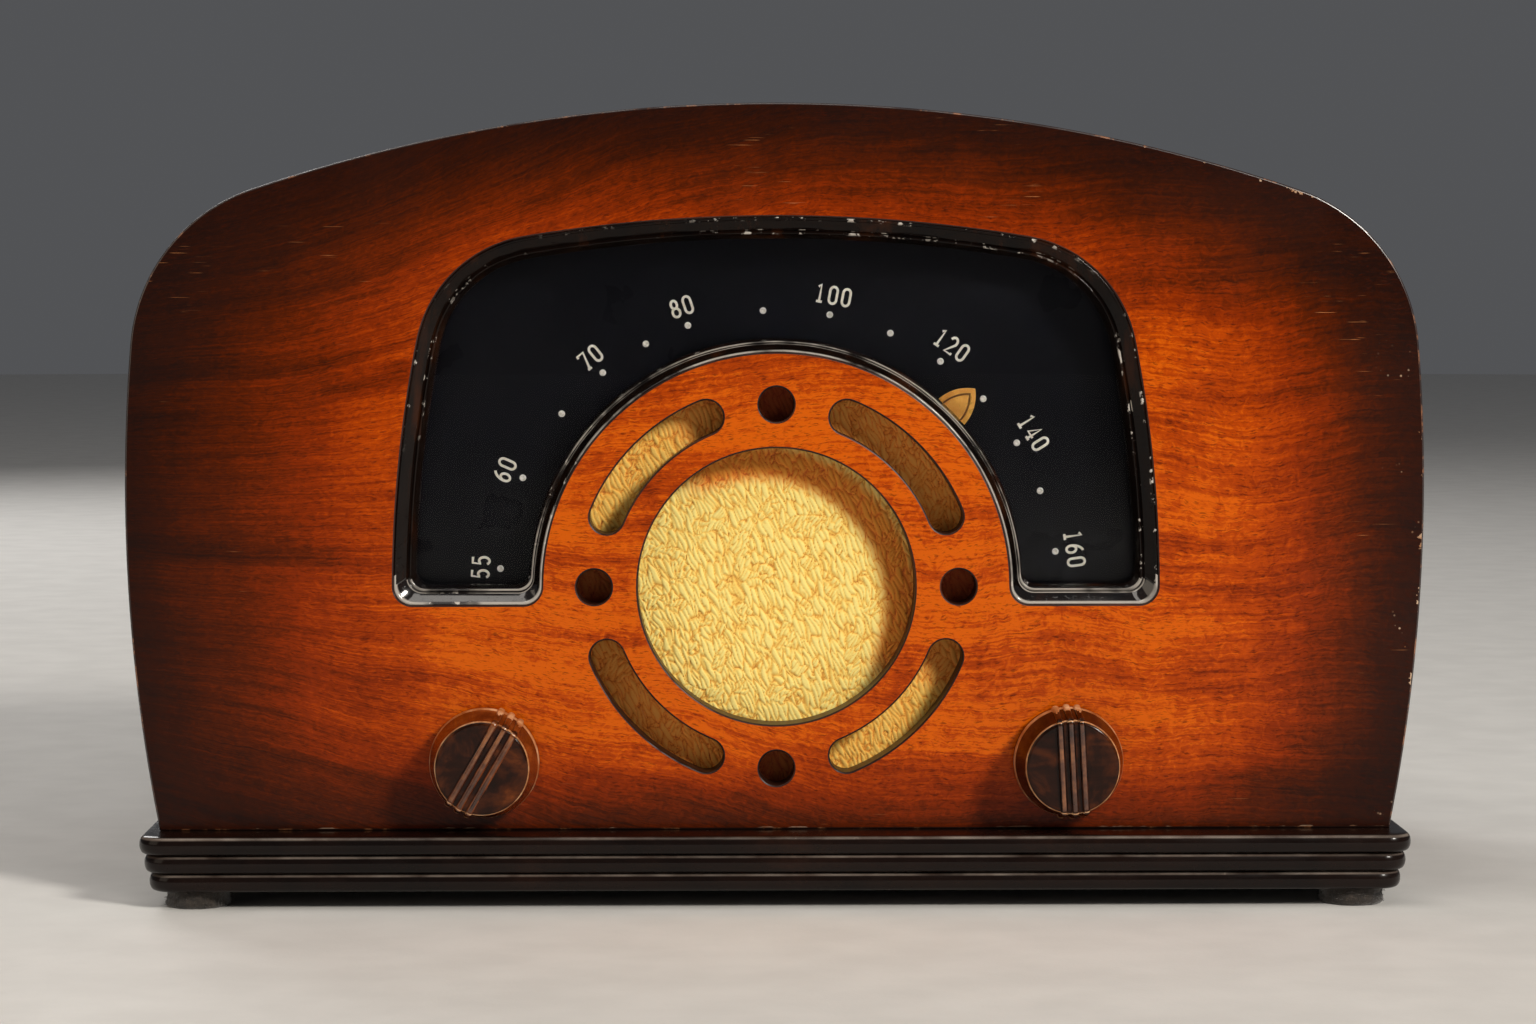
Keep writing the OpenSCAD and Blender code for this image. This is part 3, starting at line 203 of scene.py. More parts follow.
class Finish:
    """A material under work: its nodes and the steps used to build it."""

    def __init__(self, name, color=(128, 128, 128), rough=0.5, metal=0.0, coat=0.0, coat_rough=0.1, ior=1.5):
        self.material = bpy.data.materials.new(name)
        self.material.use_nodes = True
        self.tree = self.material.node_tree
        self.shader = self.tree.nodes["Principled BSDF"]
        self.shader.inputs["Base Color"].default_value = paint(*color)
        self.shader.inputs["Roughness"].default_value = rough
        self.shader.inputs["Metallic"].default_value = metal
        self.shader.inputs["Coat Weight"].default_value = coat
        self.shader.inputs["Coat Roughness"].default_value = coat_rough
        self.shader.inputs["IOR"].default_value = ior
        self.place = self.add("ShaderNodeTexCoord").outputs["Object"]

    def add(self, kind, **settings):
        new = self.tree.nodes.new(kind)
        for key, value in settings.items():
            setattr(new, key, value)
        return new

    def feed(self, socket, value):
        """Joins a node's output to a socket, or writes a plain number or colour there."""
        if isinstance(value, bpy.types.NodeSocket):
            self.tree.links.new(value, socket)
        else:
            socket.default_value = value

    def axes(self):
        """The place on the piece as three values: X across, Y deep and Z up, in metres."""
        parts = self.add("ShaderNodeSeparateXYZ")
        self.feed(parts.inputs[0], self.place)
        return parts.outputs

    def stretched(self, across, deep, up, source=None):
        """Coordinates stretched per axis, so that a noise becomes a streak."""
        step = self.add("ShaderNodeMapping")
        self.feed(step.inputs["Vector"], source or self.place)
        step.inputs["Scale"].default_value = (across, deep, up)
        return step.outputs["Vector"]

    def cloud(self, scale, detail=3.0, rough=0.5, source=None, wander=0.0):
        """Soft noise: patches, or streaks when its source is stretched."""
        step = self.add("ShaderNodeTexNoise")
        self.feed(step.inputs["Vector"], source or self.place)
        step.inputs["Scale"].default_value = scale
        step.inputs["Detail"].default_value = detail
        step.inputs["Roughness"].default_value = rough
        step.inputs["Distortion"].default_value = wander
        return step.outputs["Fac"]

    def cells(self, scale):
        """Distance to the nearest of many scattered points."""
        step = self.add("ShaderNodeTexVoronoi", feature="F1")
        self.feed(step.inputs["Vector"], self.place)
        step.inputs["Scale"].default_value = scale
        return step.outputs["Distance"]

    def sum(self, how, first, second=0.0, third=0.0, keep_in=False):
        """One step of arithmetic; keep_in holds the result between 0 and 1."""
        step = self.add("ShaderNodeMath", operation=how, use_clamp=keep_in)
        self.feed(step.inputs[0], first)
        self.feed(step.inputs[1], second)
        self.feed(step.inputs[2], third)
        return step.outputs[0]

    def between(self, value, low, high, to_low=0.0, to_high=1.0):
        """Stretches the part of a value from low to high over a new range, with soft ends."""
        step = self.add("ShaderNodeMapRange", interpolation_type="SMOOTHSTEP")
        self.feed(step.inputs["Value"], value)
        step.inputs["From Min"].default_value = low
        step.inputs["From Max"].default_value = high
        step.inputs["To Min"].default_value = to_low
        step.inputs["To Max"].default_value = to_high
        return step.outputs["Result"]

    def tones(self, value, *stops):
        """A scale of colours along a value: each stop is a place and a screen colour."""
        step = self.add("ShaderNodeValToRGB")
        self.feed(step.inputs["Fac"], value)
        marks = step.color_ramp.elements
        while len(marks) < len(stops):
            marks.new(0.5)
        for mark, (place, color) in zip(marks, stops):
            mark.position = place
            mark.color = paint(*color)
        return step.outputs["Color"]

    def blend(self, amount, first, second, how="MIX"):
        """Lays a second colour over a first; with MULTIPLY it tints the first instead."""
        step = self.add("ShaderNodeMix", data_type="RGBA", blend_type=how)
        self.feed(step.inputs["Factor"], amount)
        self.feed(step.inputs[6], paint(*first) if isinstance(first, tuple) else first)
        self.feed(step.inputs[7], paint(*second) if isinstance(second, tuple) else second)
        return step.outputs[2]

    def color(self, value):
        self.feed(self.shader.inputs["Base Color"], value)

    def gloss(self, value):
        self.feed(self.shader.inputs["Roughness"], value)

    def bump(self, height, depth_mm, strength=1.0):
        """Adds relief of a real depth under whatever relief is already there."""
        step = self.add("ShaderNodeBump")
        step.inputs["Strength"].default_value = strength
        step.inputs["Distance"].default_value = depth_mm * MM
        self.feed(step.inputs["Height"], height)
        old = self.shader.inputs["Normal"].links
        if old:
            self.feed(step.inputs["Normal"], old[0].from_socket)
        self.feed(self.shader.inputs["Normal"], step.outputs["Normal"])


print("steps on the bench:", sorted(name for name in vars(Finish) if name[0] != "_"))

# %% [markdown]
# ## Paper for the floor
#
# The first recipe is the simplest: a pale paper that is hardly uneven. It shows the pattern of all the
# others, which is a colour scale over a noise, and a bump.

# %% Lay paper on the floor
paper = Finish("floor_paper", (226, 224, 220), rough=0.85)
paper.color(paper.tones(paper.cloud(40, 4), (0.35, (222, 220, 216)), (0.65, (229, 227, 223))))
paper.bump(paper.cloud(700, 2), 0.05)
floor.data.materials.append(paper.material)
print("first finish:", paper.material.name)

# %% [markdown]
# ## Shaded veneer for the front
#
# The front is a figured veneer under tinted lacquer. The maker sprayed dark toner along the edges and left
# the middle glowing orange, a look called a sunburst. It could be painted on an image, but then it would be
# tied to one picture. Here the toner follows the shape itself: the distance to the crown's circle, to the
# sides' circles and to the plinth gives how dark it is. The grain is noise stretched along the board, with
# short dark pores, slow bands, and a few pale scratches where the lacquer has worn near the edges.

# %% The cabinet's outline as circles
crown_r = 438
side_r = 474
shoulder_r = 48
half_width = 175
crown_top = plinth_z + 195.8
bulge_z = plinth_z + 89.3
crown_c = Vector((0, crown_top - crown_r))
side_c = Vector((half_width - side_r, bulge_z))


def ground_distance(finish, center, radius):
    """How far a point of the panel lies inside a circle of the outline, in millimetres."""
    place = finish.axes()
    dx = finish.sum("SUBTRACT", place["X"], center.x * MM)
    dz = finish.sum("SUBTRACT", place["Z"], center.y * MM)
    squares = finish.sum("ADD", finish.sum("MULTIPLY", dx, dx), finish.sum("MULTIPLY", dz, dz))
    away = finish.sum("SQRT", squares)
    return finish.sum("MULTIPLY", finish.sum("SUBTRACT", radius * MM, away), PER_METRE)


print("the crown's centre lies", round(-crown_c.y), "mm below the table")

# %% [markdown]
# ## Grain that fans out
#
# Straight noise looks printed. The real leaf of veneer was cut near a fork, so its lines run together at the
# left edge and spread to the right. Dividing the height by a spread that grows to the right gives that fan,
# and two small noises, one slow and one fine, keep the lines from being ruled.

# %% Bend the grain
fan_z = plinth_z + 83.5


def grain_place(finish):
    """Coordinates along and across the grain, which fans out from the left edge and wanders a little."""
    place = finish.axes()
    spread = finish.between(place["X"], -0.20, 0.06, 1.0, 1.9)
    lift = finish.sum("SUBTRACT", place["Z"], fan_z * MM)
    across = finish.sum("DIVIDE", lift, spread)
    wander = finish.sum("MULTIPLY_ADD", finish.cloud(7, 2, 0.5), 0.022, -0.011)
    ripple = finish.sum("MULTIPLY_ADD", finish.cloud(160, 3, 0.6), 0.0012, -0.0006)
    level = finish.add("ShaderNodeCombineXYZ")
    finish.feed(level.inputs["X"], place["X"])
    finish.feed(level.inputs["Y"], place["Y"])
    finish.feed(level.inputs["Z"], finish.sum("ADD", finish.sum("ADD", across, wander), ripple))
    return level.outputs[0]


print("the grain fans out about a height of", round(fan_z, 1), "mm")

# %% [markdown]
# ## Toner along the edges
#
# The spray was held close at the right and the crown, where the shade ends within a hand's width, and wider
# at the left, where it reaches a quarter of the way across. Each shade below is in millimetres in from its
# edge, and starts outside the wood because the edge itself is never quite black. The last two ranges are
# painted shade: they darken the wood's colour a little towards the top and the right, where the main lamp is
# nearest, to even out its stronger light there.

# %% Spray the toner
crown_shade = (-7, 52)
right_shade = (-9, 60)
left_reach = 96
foot_shade = (-20, 34)
lamp_heights = (40, 190)
lamp_right = (50, 150)


def toner(finish):
    """How much the wood glows: 0 at the sprayed edges and 1 in the open middle, with painted shade towards
    the top and right.
    """
    place = finish.axes()
    right = ground_distance(finish, side_c, side_r)
    left = ground_distance(finish, side_c * Vector((-1, 1)), side_r)
    top = finish.between(ground_distance(finish, crown_c, crown_r), *crown_shade)
    glow = finish.sum("MULTIPLY", top, finish.between(right, *right_shade))
    left_share = finish.sum("MULTIPLY_ADD", left, 1 / left_reach, 0.01, keep_in=True)
    left_share = finish.sum("POWER", left_share, 0.92)
    glow = finish.sum("MULTIPLY", glow, left_share)
    foot = finish.between(place["Z"], *[(plinth_z + up) * MM for up in foot_shade])
    # painted shade: the wood's colour is darkened towards the top and the right, where the main lamp shines
    # strongest
    near_lamp = finish.between(place["Z"], *[(plinth_z + up) * MM for up in lamp_heights], 0.95, 0.82)
    from_right = finish.between(place["X"], *[across * MM for across in lamp_right], 1.0, 0.87)
    near_lamp = finish.sum("MULTIPLY", near_lamp, from_right)
    return finish.sum("MULTIPLY", finish.sum("MULTIPLY", glow, foot), near_lamp)


print("toner reaches", crown_shade[1], "mm down from the crown and", left_reach, "mm in from the left")

# %% [markdown]
# ## Veneer under lacquer
#
# Walnut has several patterns at once: broad dark flames, growth bands, fine fibre, a silky cross shimmer and
# short dark pores. Each is one noise, stretched along the grain by its own amount, and together they shift a
# place along one scale of browns that the toner has already set. So the figure stays strong in the open
# middle and sinks under the dark edges. The lacquer's gloss varies slowly, and pale scratches lie where it
# has been handled.

# %% Veneer under lacquer
walnut_tones = (
    (0.0, (33, 15, 10)),
    (0.16, (52, 19, 6)),
    (0.36, (88, 29, 3)),
    (0.60, (136, 44, 3)),
    (0.84, (181, 68, 4)),
    (1.0, (211, 94, 8)),
)


def veneer(name, glow_of, place_of, wear_and_highlight=1.0, rough=(0.14, 0.26)):
    """Figured veneer: broad dark flames, fine fibre, short dark pores, cross shimmer and pale scratches."""
    wood = Finish(name, (170, 60, 10), rough=0.2)
    wood.shader.inputs["Specular IOR Level"].default_value = 0.12
    along = place_of(wood)
    glow = glow_of(wood)
    flames = wood.cloud(1, 3, 0.55, wood.stretched(10, 20, 120, along), wander=0.5)
    bands = wood.cloud(1, 4, 0.6, wood.stretched(14, 20, 420, along))
    fibre = wood.cloud(1, 4, 0.6, wood.stretched(46, 60, 2300, along), wander=0.4)
    lines = wood.cloud(1, 2, 0.5, wood.stretched(22, 60, 4200, along))
    shimmer = wood.cloud(1, 3, 0.55, wood.stretched(120, 60, 30))
    mottle = wood.cloud(1, 4, 0.65, wood.stretched(330, 200, 900, along), wander=1.4)
    change = wood.sum("MULTIPLY_ADD", wood.between(flames, 0.26, 0.56), 0.28, -0.20)
    for layer, amount in (
        (wood.cloud(26, 4, 0.6), 0.30),
        (bands, 0.42),
        (fibre, 0.62),
        (lines, 0.50),
        (shimmer, 0.30),
        (mottle, 0.80),
    ):
        change = wood.sum("ADD", change, wood.sum("MULTIPLY_ADD", layer, amount, -amount / 2))
    strength = wood.sum("MULTIPLY_ADD", glow, 0.72, 0.28)
    tone = wood.sum("MULTIPLY_ADD", change, strength, glow, keep_in=True)
    base = wood.tones(tone, *walnut_tones)
    dashes = wood.cloud(1, 2, 0.5, wood.stretched(430, 200, 5200, along))
    pores = wood.between(dashes, 0.58, 0.68)
    base = wood.blend(wood.sum("MULTIPLY", pores, 0.55), base, (58, 17, 3))
    hair = wood.cloud(1, 2, 0.4, wood.stretched(80, 60, 4200))
    worn_place = wood.between(wood.cloud(23, 4, 0.65), 0.54, 0.68)
    scratches = wood.sum("MULTIPLY", wood.between(hair, 0.70, 0.76), worn_place)
    near_edge = wood.between(glow, 0.95, 0.35)
    pale = wood.sum("MULTIPLY", scratches, wood.sum("MULTIPLY", near_edge, wear_and_highlight))
    base = wood.blend(pale, base, (214, 138, 84))
    wood.color(base)
    wood.gloss(wood.between(wood.cloud(30, 3), 0.3, 0.7, *rough))
    wood.bump(fibre, 0.03, 0.25)
    wood.bump(pores, -0.02, 0.4)
    return wood, base


print("walnut runs through", len(walnut_tones), "tones")

# %% [markdown]
# ## Veneer round the sides and top
#
# The sides and top are one sheet of ply, bent round the cabinet, and they were sprayed nearly all dark. The
# same recipe serves, with its grain turned to run from front to back, less wear, and a duller lacquer, since
# dust and sun take the shine off a top first.

# %% Wrap the shell


def shell_toner(finish):
    """The shell hardly glows, in slow patches."""
    return finish.between(finish.cloud(7, 2), 0.25, 0.8, 0.10, 0.34)


def shell_place(finish):
    """The wrapped ply has its grain running from front to back."""
    turned_about = finish.add("ShaderNodeMapping")
    finish.feed(turned_about.inputs["Vector"], finish.place)
    turned_about.inputs["Rotation"].default_value = (0, 0, math.pi / 2)
    return turned_about.outputs["Vector"]


shell_veneer = veneer("shell_veneer", shell_toner, shell_place, 0.45, (0.54, 0.62))[0].material
print("shell finish:", shell_veneer.name)

# %% [markdown]
# ## Worn rim of the front
#
# Lacquer chips where a cabinet is lifted and knocked: along the edge, more at the right, and in a thin line
# where the panel meets the plinth. A chip is a noise that has to be stronger than the distance to the edge,
# so the marks crowd at the rim and die out within a few millimetres. Scattered grit sits near the right
# edge. The marks are laid over the veneer's own colour.

# %% Chip and rub the rim
front_wood, front_base = veneer("front_veneer", toner, grain_place)
right_gap = ground_distance(front_wood, side_c, side_r)
left_gap = ground_distance(front_wood, side_c * Vector((-1, 1)), side_r)
crown_gap = ground_distance(front_wood, crown_c, crown_r)
rim_gap = front_wood.sum("MINIMUM", front_wood.sum("MINIMUM", right_gap, left_gap), crown_gap)
panel_place = front_wood.axes()
worn_side = front_wood.between(panel_place["X"], 0.02, 0.16, 0.35, 1.0)
nicks = front_wood.between(front_wood.cloud(210, 4, 0.75), 0.50, 0.80, 0.0, 2.0)
chips = front_wood.sum("SUBTRACT", front_wood.sum("MULTIPLY", nicks, worn_side), rim_gap)
chips = front_wood.between(chips, 0.0, 0.2)
grit = front_wood.between(front_wood.cells(520), 0.20, 0.10)
gritty = front_wood.sum("MULTIPLY", front_wood.between(front_wood.cloud(70, 3), 0.56, 0.64), worn_side)
gritty = front_wood.sum("MULTIPLY", gritty, front_wood.between(right_gap, 13, 2))
marks = front_wood.sum("MAXIMUM", chips, front_wood.sum("MULTIPLY", grit, gritty))
above_foot = front_wood.sum("MULTIPLY_ADD", panel_place["Z"], PER_METRE, -plinth_z)
rub = front_wood.between(front_wood.cloud(1, 4, 0.7, front_wood.stretched(60, 45, 10)), 0.42, 0.66, 0.1, 0.9)
rub = front_wood.between(front_wood.sum("SUBTRACT", rub, above_foot), 0.0, 0.2)
marks = front_wood.sum("MAXIMUM", marks, front_wood.sum("MULTIPLY", rub, 0.35))
worn = front_wood.tones(front_wood.cloud(400, 2), (0.35, (168, 116, 78)), (0.65, (222, 194, 166)))
front_wood.color(front_wood.blend(front_wood.sum("MULTIPLY", marks, 0.85), front_base, worn))
front_veneer = front_wood.material
print("front finish:", len(front_wood.tree.nodes), "nodes")

# %% [markdown]
# ## Edges of the panel
#
# The panel shows three more surfaces. Its rounded rim catches the light through a thick coat, worn to the
# wood in places. The outer edge behind the rim is veneer under the darkest toner. The walls of the sawn
# holes show the end grain of the plies, stained dark and nearly dull.

# %% Finish the edges
rim_lacquer = Finish("rim_lacquer", (38, 15, 8), rough=0.3, coat=1.0, coat_rough=0.26)
thin = rim_lacquer.between(rim_lacquer.cloud(160, 4, 0.7), 0.54, 0.66)
rim_lacquer.color(rim_lacquer.blend(thin, (34, 14, 8), (132, 84, 52)))
rim_lacquer.bump(rim_lacquer.cloud(420, 3), 0.05, 0.5)


def edge_toner(finish):
    """The outer edge was sprayed darkest of all."""
    return finish.between(finish.cloud(9, 2), 0.2, 0.8, 0.06, 0.2)


edge_lacquer = veneer("edge_lacquer", edge_toner, shell_place)[0].material
sawn_edge = Finish("sawn_edge", (44, 18, 8), rough=0.42)
sawn_edge.shader.inputs["Specular IOR Level"].default_value = 0.35
plies = sawn_edge.cloud(1, 3, 0.6, sawn_edge.stretched(60, 1400, 60))
sawn_edge.color(sawn_edge.tones(plies, (0.34, (24, 9, 5)), (0.55, (48, 20, 9)), (0.75, (84, 38, 16))))
sawn_edge.bump(plies, 0.06, 0.5)
print("edge finishes:", rim_lacquer.material.name, edge_lacquer.name, sawn_edge.material.name)

# %% [markdown]
# ## Outlines shared by several pieces
#
# The cabinet and the dial window are both arches of tangent arcs: a flat crown, two shoulders and two bowed
# sides. A draughtsman finds where such arcs meet from their centres alone. The same little construction
# gives the panel, its window and each step of the bevel round the window, every one with its own inset.

# %% Arcs that meet


def arc(center, radius, start, end, steps):
    """Points along an arc, both ends included, with angles counted from straight right."""
    turns = [start + (end - start) * i / steps for i in range(steps + 1)]
    return [Vector((center.x + radius * math.cos(a), center.y + radius * math.sin(a))) for a in turns]


def meeting(first, first_r, second, second_r):
    """The point on the right where two circles cross."""
    gap = second - first
    along = (first_r**2 - second_r**2 + gap.length_squared) / (2 * gap.length)
    off = math.sqrt(first_r**2 - along**2)
    way = gap.normalized()
    side = Vector((-way.y, way.x))
    spots = [first + way * along + side * off, first + way * along - side * off]
    return max(spots, key=lambda p: p.x)


def turn_of(way):
    """The angle of a direction, counted from straight right."""
    return math.atan2(way.y, way.x)


def mirrored(points):
    """The same points on the left side, in the opposite order."""
    return [Vector((-p.x, p.y)) for p in reversed(points)]


print("helpers for arcs ready")

# %% The cabinet's arch


def arch_top(half, top, top_r, bow_r, bow_z, corner_r, start, inset):
    """The right side, shoulder, crown, other shoulder and other side of an arch, anticlockwise."""
    steps = 24
    top_c = Vector((0, top - top_r))
    bow_c = Vector((half - bow_r, bow_z))
    corner_c = meeting(top_c, top_r - corner_r, bow_c, bow_r - corner_r)
    bow_end = turn_of(corner_c - bow_c)
    top_start = turn_of(corner_c - top_c)
    side = arc(bow_c, bow_r - inset, start, bow_end, steps)
    shoulder = arc(corner_c, corner_r - inset, bow_end, top_start, steps)
    crown = arc(top_c, top_r - inset, top_start, math.pi - top_start, 2 * steps)
    right = side[:-1] + shoulder[:-1]
    return right + crown + mirrored(right)


def cabinet_outline(inset, foot_z):
    """The cabinet's arch, cut off level at its foot."""
    start = math.asin((foot_z - bulge_z) / (side_r - inset))
    return arch_top(half_width, crown_top, crown_r, side_r, bulge_z, shoulder_r, start, inset)


print("cabinet outline:", len(cabinet_outline(0, plinth_z)), "points")

# %% [markdown]
# ## The horseshoe window
#
# The dial window is the cabinet's arch again, smaller, with a round bite taken out of its foot for the
# speaker's field. All its corners are arcs that touch their neighbours, so the outline can be drawn in by an
# inset without a kink. The field's centre is also the centre of the dial, the grille and the speaker.

# %% The window's outline
field = Vector((0, plinth_z + 65.8))
field_r = 63.3
window_half = 103.1
window_top = field.y + 99.5
window_crown_r = 413
window_shoulder_r = 35
window_side_r = 347
window_foot_r = 5
window_bow = Vector((window_half - window_side_r, field.y - 2.6))


def window_outline(inset, lift, inner_r, corner_r):
    """The horseshoe of the dial window, drawn in by an inset, anticlockwise from the right foot."""
    steps = 10
    foot = field.y - 4.8 + lift
    low = foot + corner_r
    reach = window_side_r - inset - corner_r
    outer = Vector((window_bow.x + math.sqrt(reach**2 - (low - window_bow.y) ** 2), low))
    rise = max(0.0, low - field.y)
    inner = Vector((math.sqrt((inner_r + corner_r) ** 2 - rise**2), low))
    start = turn_of(outer - window_bow)
    side = arch_top(
        window_half, window_top, window_crown_r, window_side_r, window_bow.y, window_shoulder_r, start, inset
    )
    foot_right = arc(outer, corner_r, -math.pi / 2, start, steps)
    foot_left = mirrored(foot_right)
    touch = math.asin(rise / (inner_r + corner_r))
    corner = arc(inner, corner_r, math.pi + touch, 1.5 * math.pi, steps)
    corner_left = mirrored(corner)
    over = arc(field, inner_r, math.pi - touch, touch, 96)
    return foot_right[:-1] + side[:-1] + foot_left + corner_left[:-1] + over + corner[1:]


print("window outline:", len(window_outline(0, 0, field_r, window_foot_r)), "points")

# %% [markdown]
# ## Tools that make solid pieces
#
# Three ways cover nearly every piece here. A flat board with holes is a filled curve with some thickness and
# a tiny rounded edge, as a router would leave it. A moulding is a row of outlines joined ring by ring. A
# turned piece is a profile spun round its axis. Each helper leaves the object at the origin, because the
# points already are where the piece belongs.

# %% Put a piece in the scene


def finished(name, mesh, material, smooth=30.0):
    """Puts a mesh in the scene with soft shading over its curves and a finish on it."""
    piece = bpy.data.objects.new(name, mesh)
    bpy.context.collection.objects.link(piece)
    mesh.materials.clear()
    mesh.materials.append(material)
    mesh.shade_smooth()
    mesh.set_sharp_from_angle(angle=math.radians(smooth))
    weights = piece.modifiers.new("flat_faces_stay_flat", "WEIGHTED_NORMAL")
    weights.keep_sharp = True
    return piece


print("a finished piece has smooth curves and sharp corners over 30 degrees")

# %% A board with holes


def board(name, outlines, front, back, round_off, material):
    """A flat board between two depths, with holes for all outlines but the first."""
    curve = bpy.data.curves.new(name, "CURVE")
    curve.dimensions = "2D"
    curve.fill_mode = "BOTH"
    curve.extrude = (back - front) / 2 * MM - round_off * MM
    curve.bevel_depth = round_off * MM
    curve.bevel_resolution = 2
    curve.offset = -round_off * MM
    for outline in outlines:
        line = curve.splines.new("POLY")
        line.points.add(len(outline) - 1)
        line.use_cyclic_u = True
        for spot, p in zip(line.points, outline):
            spot.co = (p.x * MM, p.y * MM, 0, 1)
    helper = bpy.data.objects.new(name + "_curve", curve)
    bpy.context.collection.objects.link(helper)
    mesh = bpy.data.meshes.new_from_object(helper.evaluated_get(bpy.context.evaluated_depsgraph_get()))
    bpy.data.objects.remove(helper)
    mesh.transform(Matrix.Rotation(math.pi / 2, 4, "X"))
    mesh.transform(Matrix.Translation(at(0, (front + back) / 2, 0)))
    mesh.name = name
    return finished(name, mesh, material)


print("boards are filled curves")

# %% Mouldings and turnings


def ring_by_ring(name, rings, material, closed=False, smooth=30.0):
    """Joins rings of points with the same count; a closed one joins the last ring to the first."""
    count = len(rings[0])
    faces = []
    for i in range(len(rings) if closed else len(rings) - 1):
        here = i * count
        there = (i + 1) % len(rings) * count
        for j in range(count):
            k = (j + 1) % count
            faces.append((here + j, here + k, there + k, there + j))
    if not closed:
        faces.append(tuple(range(count)))
        faces.append(tuple(range((len(rings) - 1) * count, len(rings) * count)))
    mesh = bpy.data.meshes.new(name)
    mesh.from_pydata([p for ring in rings for p in ring], [], faces)
    shape = bmesh.new()
    shape.from_mesh(mesh)
    bmesh.ops.recalc_face_normals(shape, faces=shape.faces)
    shape.to_mesh(mesh)
    shape.free()
    return finished(name, mesh, material, smooth)


def turned(name, profile, center, material, steps):
    """Spins a profile of (radius, depth) pairs round an axis that runs into the cabinet."""
    rings = []
    for radius, depth in profile:
        circle = arc(center, max(radius, 0.01), 0, 2 * math.pi, steps)[:-1]
        rings.append([at(p.x, depth, p.y) for p in circle])
    return ring_by_ring(name, rings, material)


def joined(name, pieces):
    """Makes one object of several pieces."""
    shape = bmesh.new()
    for piece in pieces:
        shape.from_mesh(piece.data)
    mesh = bpy.data.meshes.new(name)
    shape.to_mesh(mesh)
    shape.free()
    material = pieces[0].data.materials[0]
    for piece in pieces:
        bpy.data.objects.remove(piece)
    return finished(name, mesh, material)


print("shop tools ready")

# %% [markdown]
# ## The front panel
#
# The real panel is plywood, sawn out and then veneered, and its sawn edges were sanded just round enough
# not to splinter. That thin rounded edge is what catches the light along the outline. The panel could be
# cut with booleans, but a filled curve with inner loops gives all the holes at once with even rounded edges.

# %% Mark out the holes
slot_half_turn = math.radians(22.5)
slot_r = 49.5
slot_half_wide = 4.6
grille_r = 37.4
pip_ring = 49.2
pip_r = 4.7
shaft_hole_r = 5.2
knob_out = 78.7
knob_z = plinth_z + 18.8


def field_spot(radius, turn):
    """A spot on the panel at a radius and an angle about the field's centre."""
    return field + radius * Vector((math.cos(turn), math.sin(turn)))


def slot_outline(middle):
    """A curved slot of the grille with round ends, centred on one angle."""
    steps = 14
    first = middle - slot_half_turn
    last = middle + slot_half_turn
    far = arc(field, slot_r + slot_half_wide, first, last, 2 * steps)
    end = arc(field_spot(slot_r, last), slot_half_wide, last, last + math.pi, steps)
    near = arc(field, slot_r - slot_half_wide, last, first, 2 * steps)
    start = arc(field_spot(slot_r, first), slot_half_wide, first - math.pi, first, steps)
    return far[:-1] + end[:-1] + near[:-1] + start[:-1]


def circle_outline(center, radius, steps=40):
    """A full circle without its last point, which would double the first."""
    return arc(center, radius, 0, 2 * math.pi, steps)[:-1]


holes = [window_outline(0, 0, field_r, window_foot_r), circle_outline(field, grille_r, 128)]
for step in range(4):
    quarter = math.pi / 2 * step
    holes.append(circle_outline(field_spot(pip_ring, quarter), pip_r))
    holes.append(slot_outline(quarter + math.pi / 4))
for side in (-1, 1):
    holes.append(circle_outline(Vector((side * knob_out, knob_z)), shaft_hole_r))
print("openings:", len(holes))

# %% [markdown]
# ## Sawing and finishing the panel
#
# The board comes out of one call, and its faces are then sorted by where they point. The front takes the
# veneer, the rounded rim its worn coat, the outer edge the darkest lacquer, and the walls of the holes show
# their plies.

# %% Saw out the panel
panel_thick = 9.5
panel_round = 0.5
side_zone = 120
panel_outlines = [cabinet_outline(0, plinth_z)] + holes
panel = board("veneered_front", panel_outlines, 0, panel_thick, panel_round, front_veneer)
panel.data.materials.append(rim_lacquer.material)
panel.data.materials.append(sawn_edge.material)
panel.data.materials.append(edge_lacquer)
for face in panel.data.polygons:
    spot = Vector((face.center.x / MM, face.center.z / MM))
    outer = (spot - crown_c).length > crown_r - 1.5 or abs(spot.x) > side_zone or spot.y < plinth_z + 1.5
    turned_off = abs(face.normal.y) < 0.30
    face.material_index = 0 if face.normal.y < -0.97 else (1 if outer and not turned_off else 2)
    if outer and turned_off:
        face.material_index = 3
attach(panel, "cabinet")
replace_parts(panel, "front_panel")
print("front panel:", len(panel.data.polygons), "faces,", len(holes), "openings")
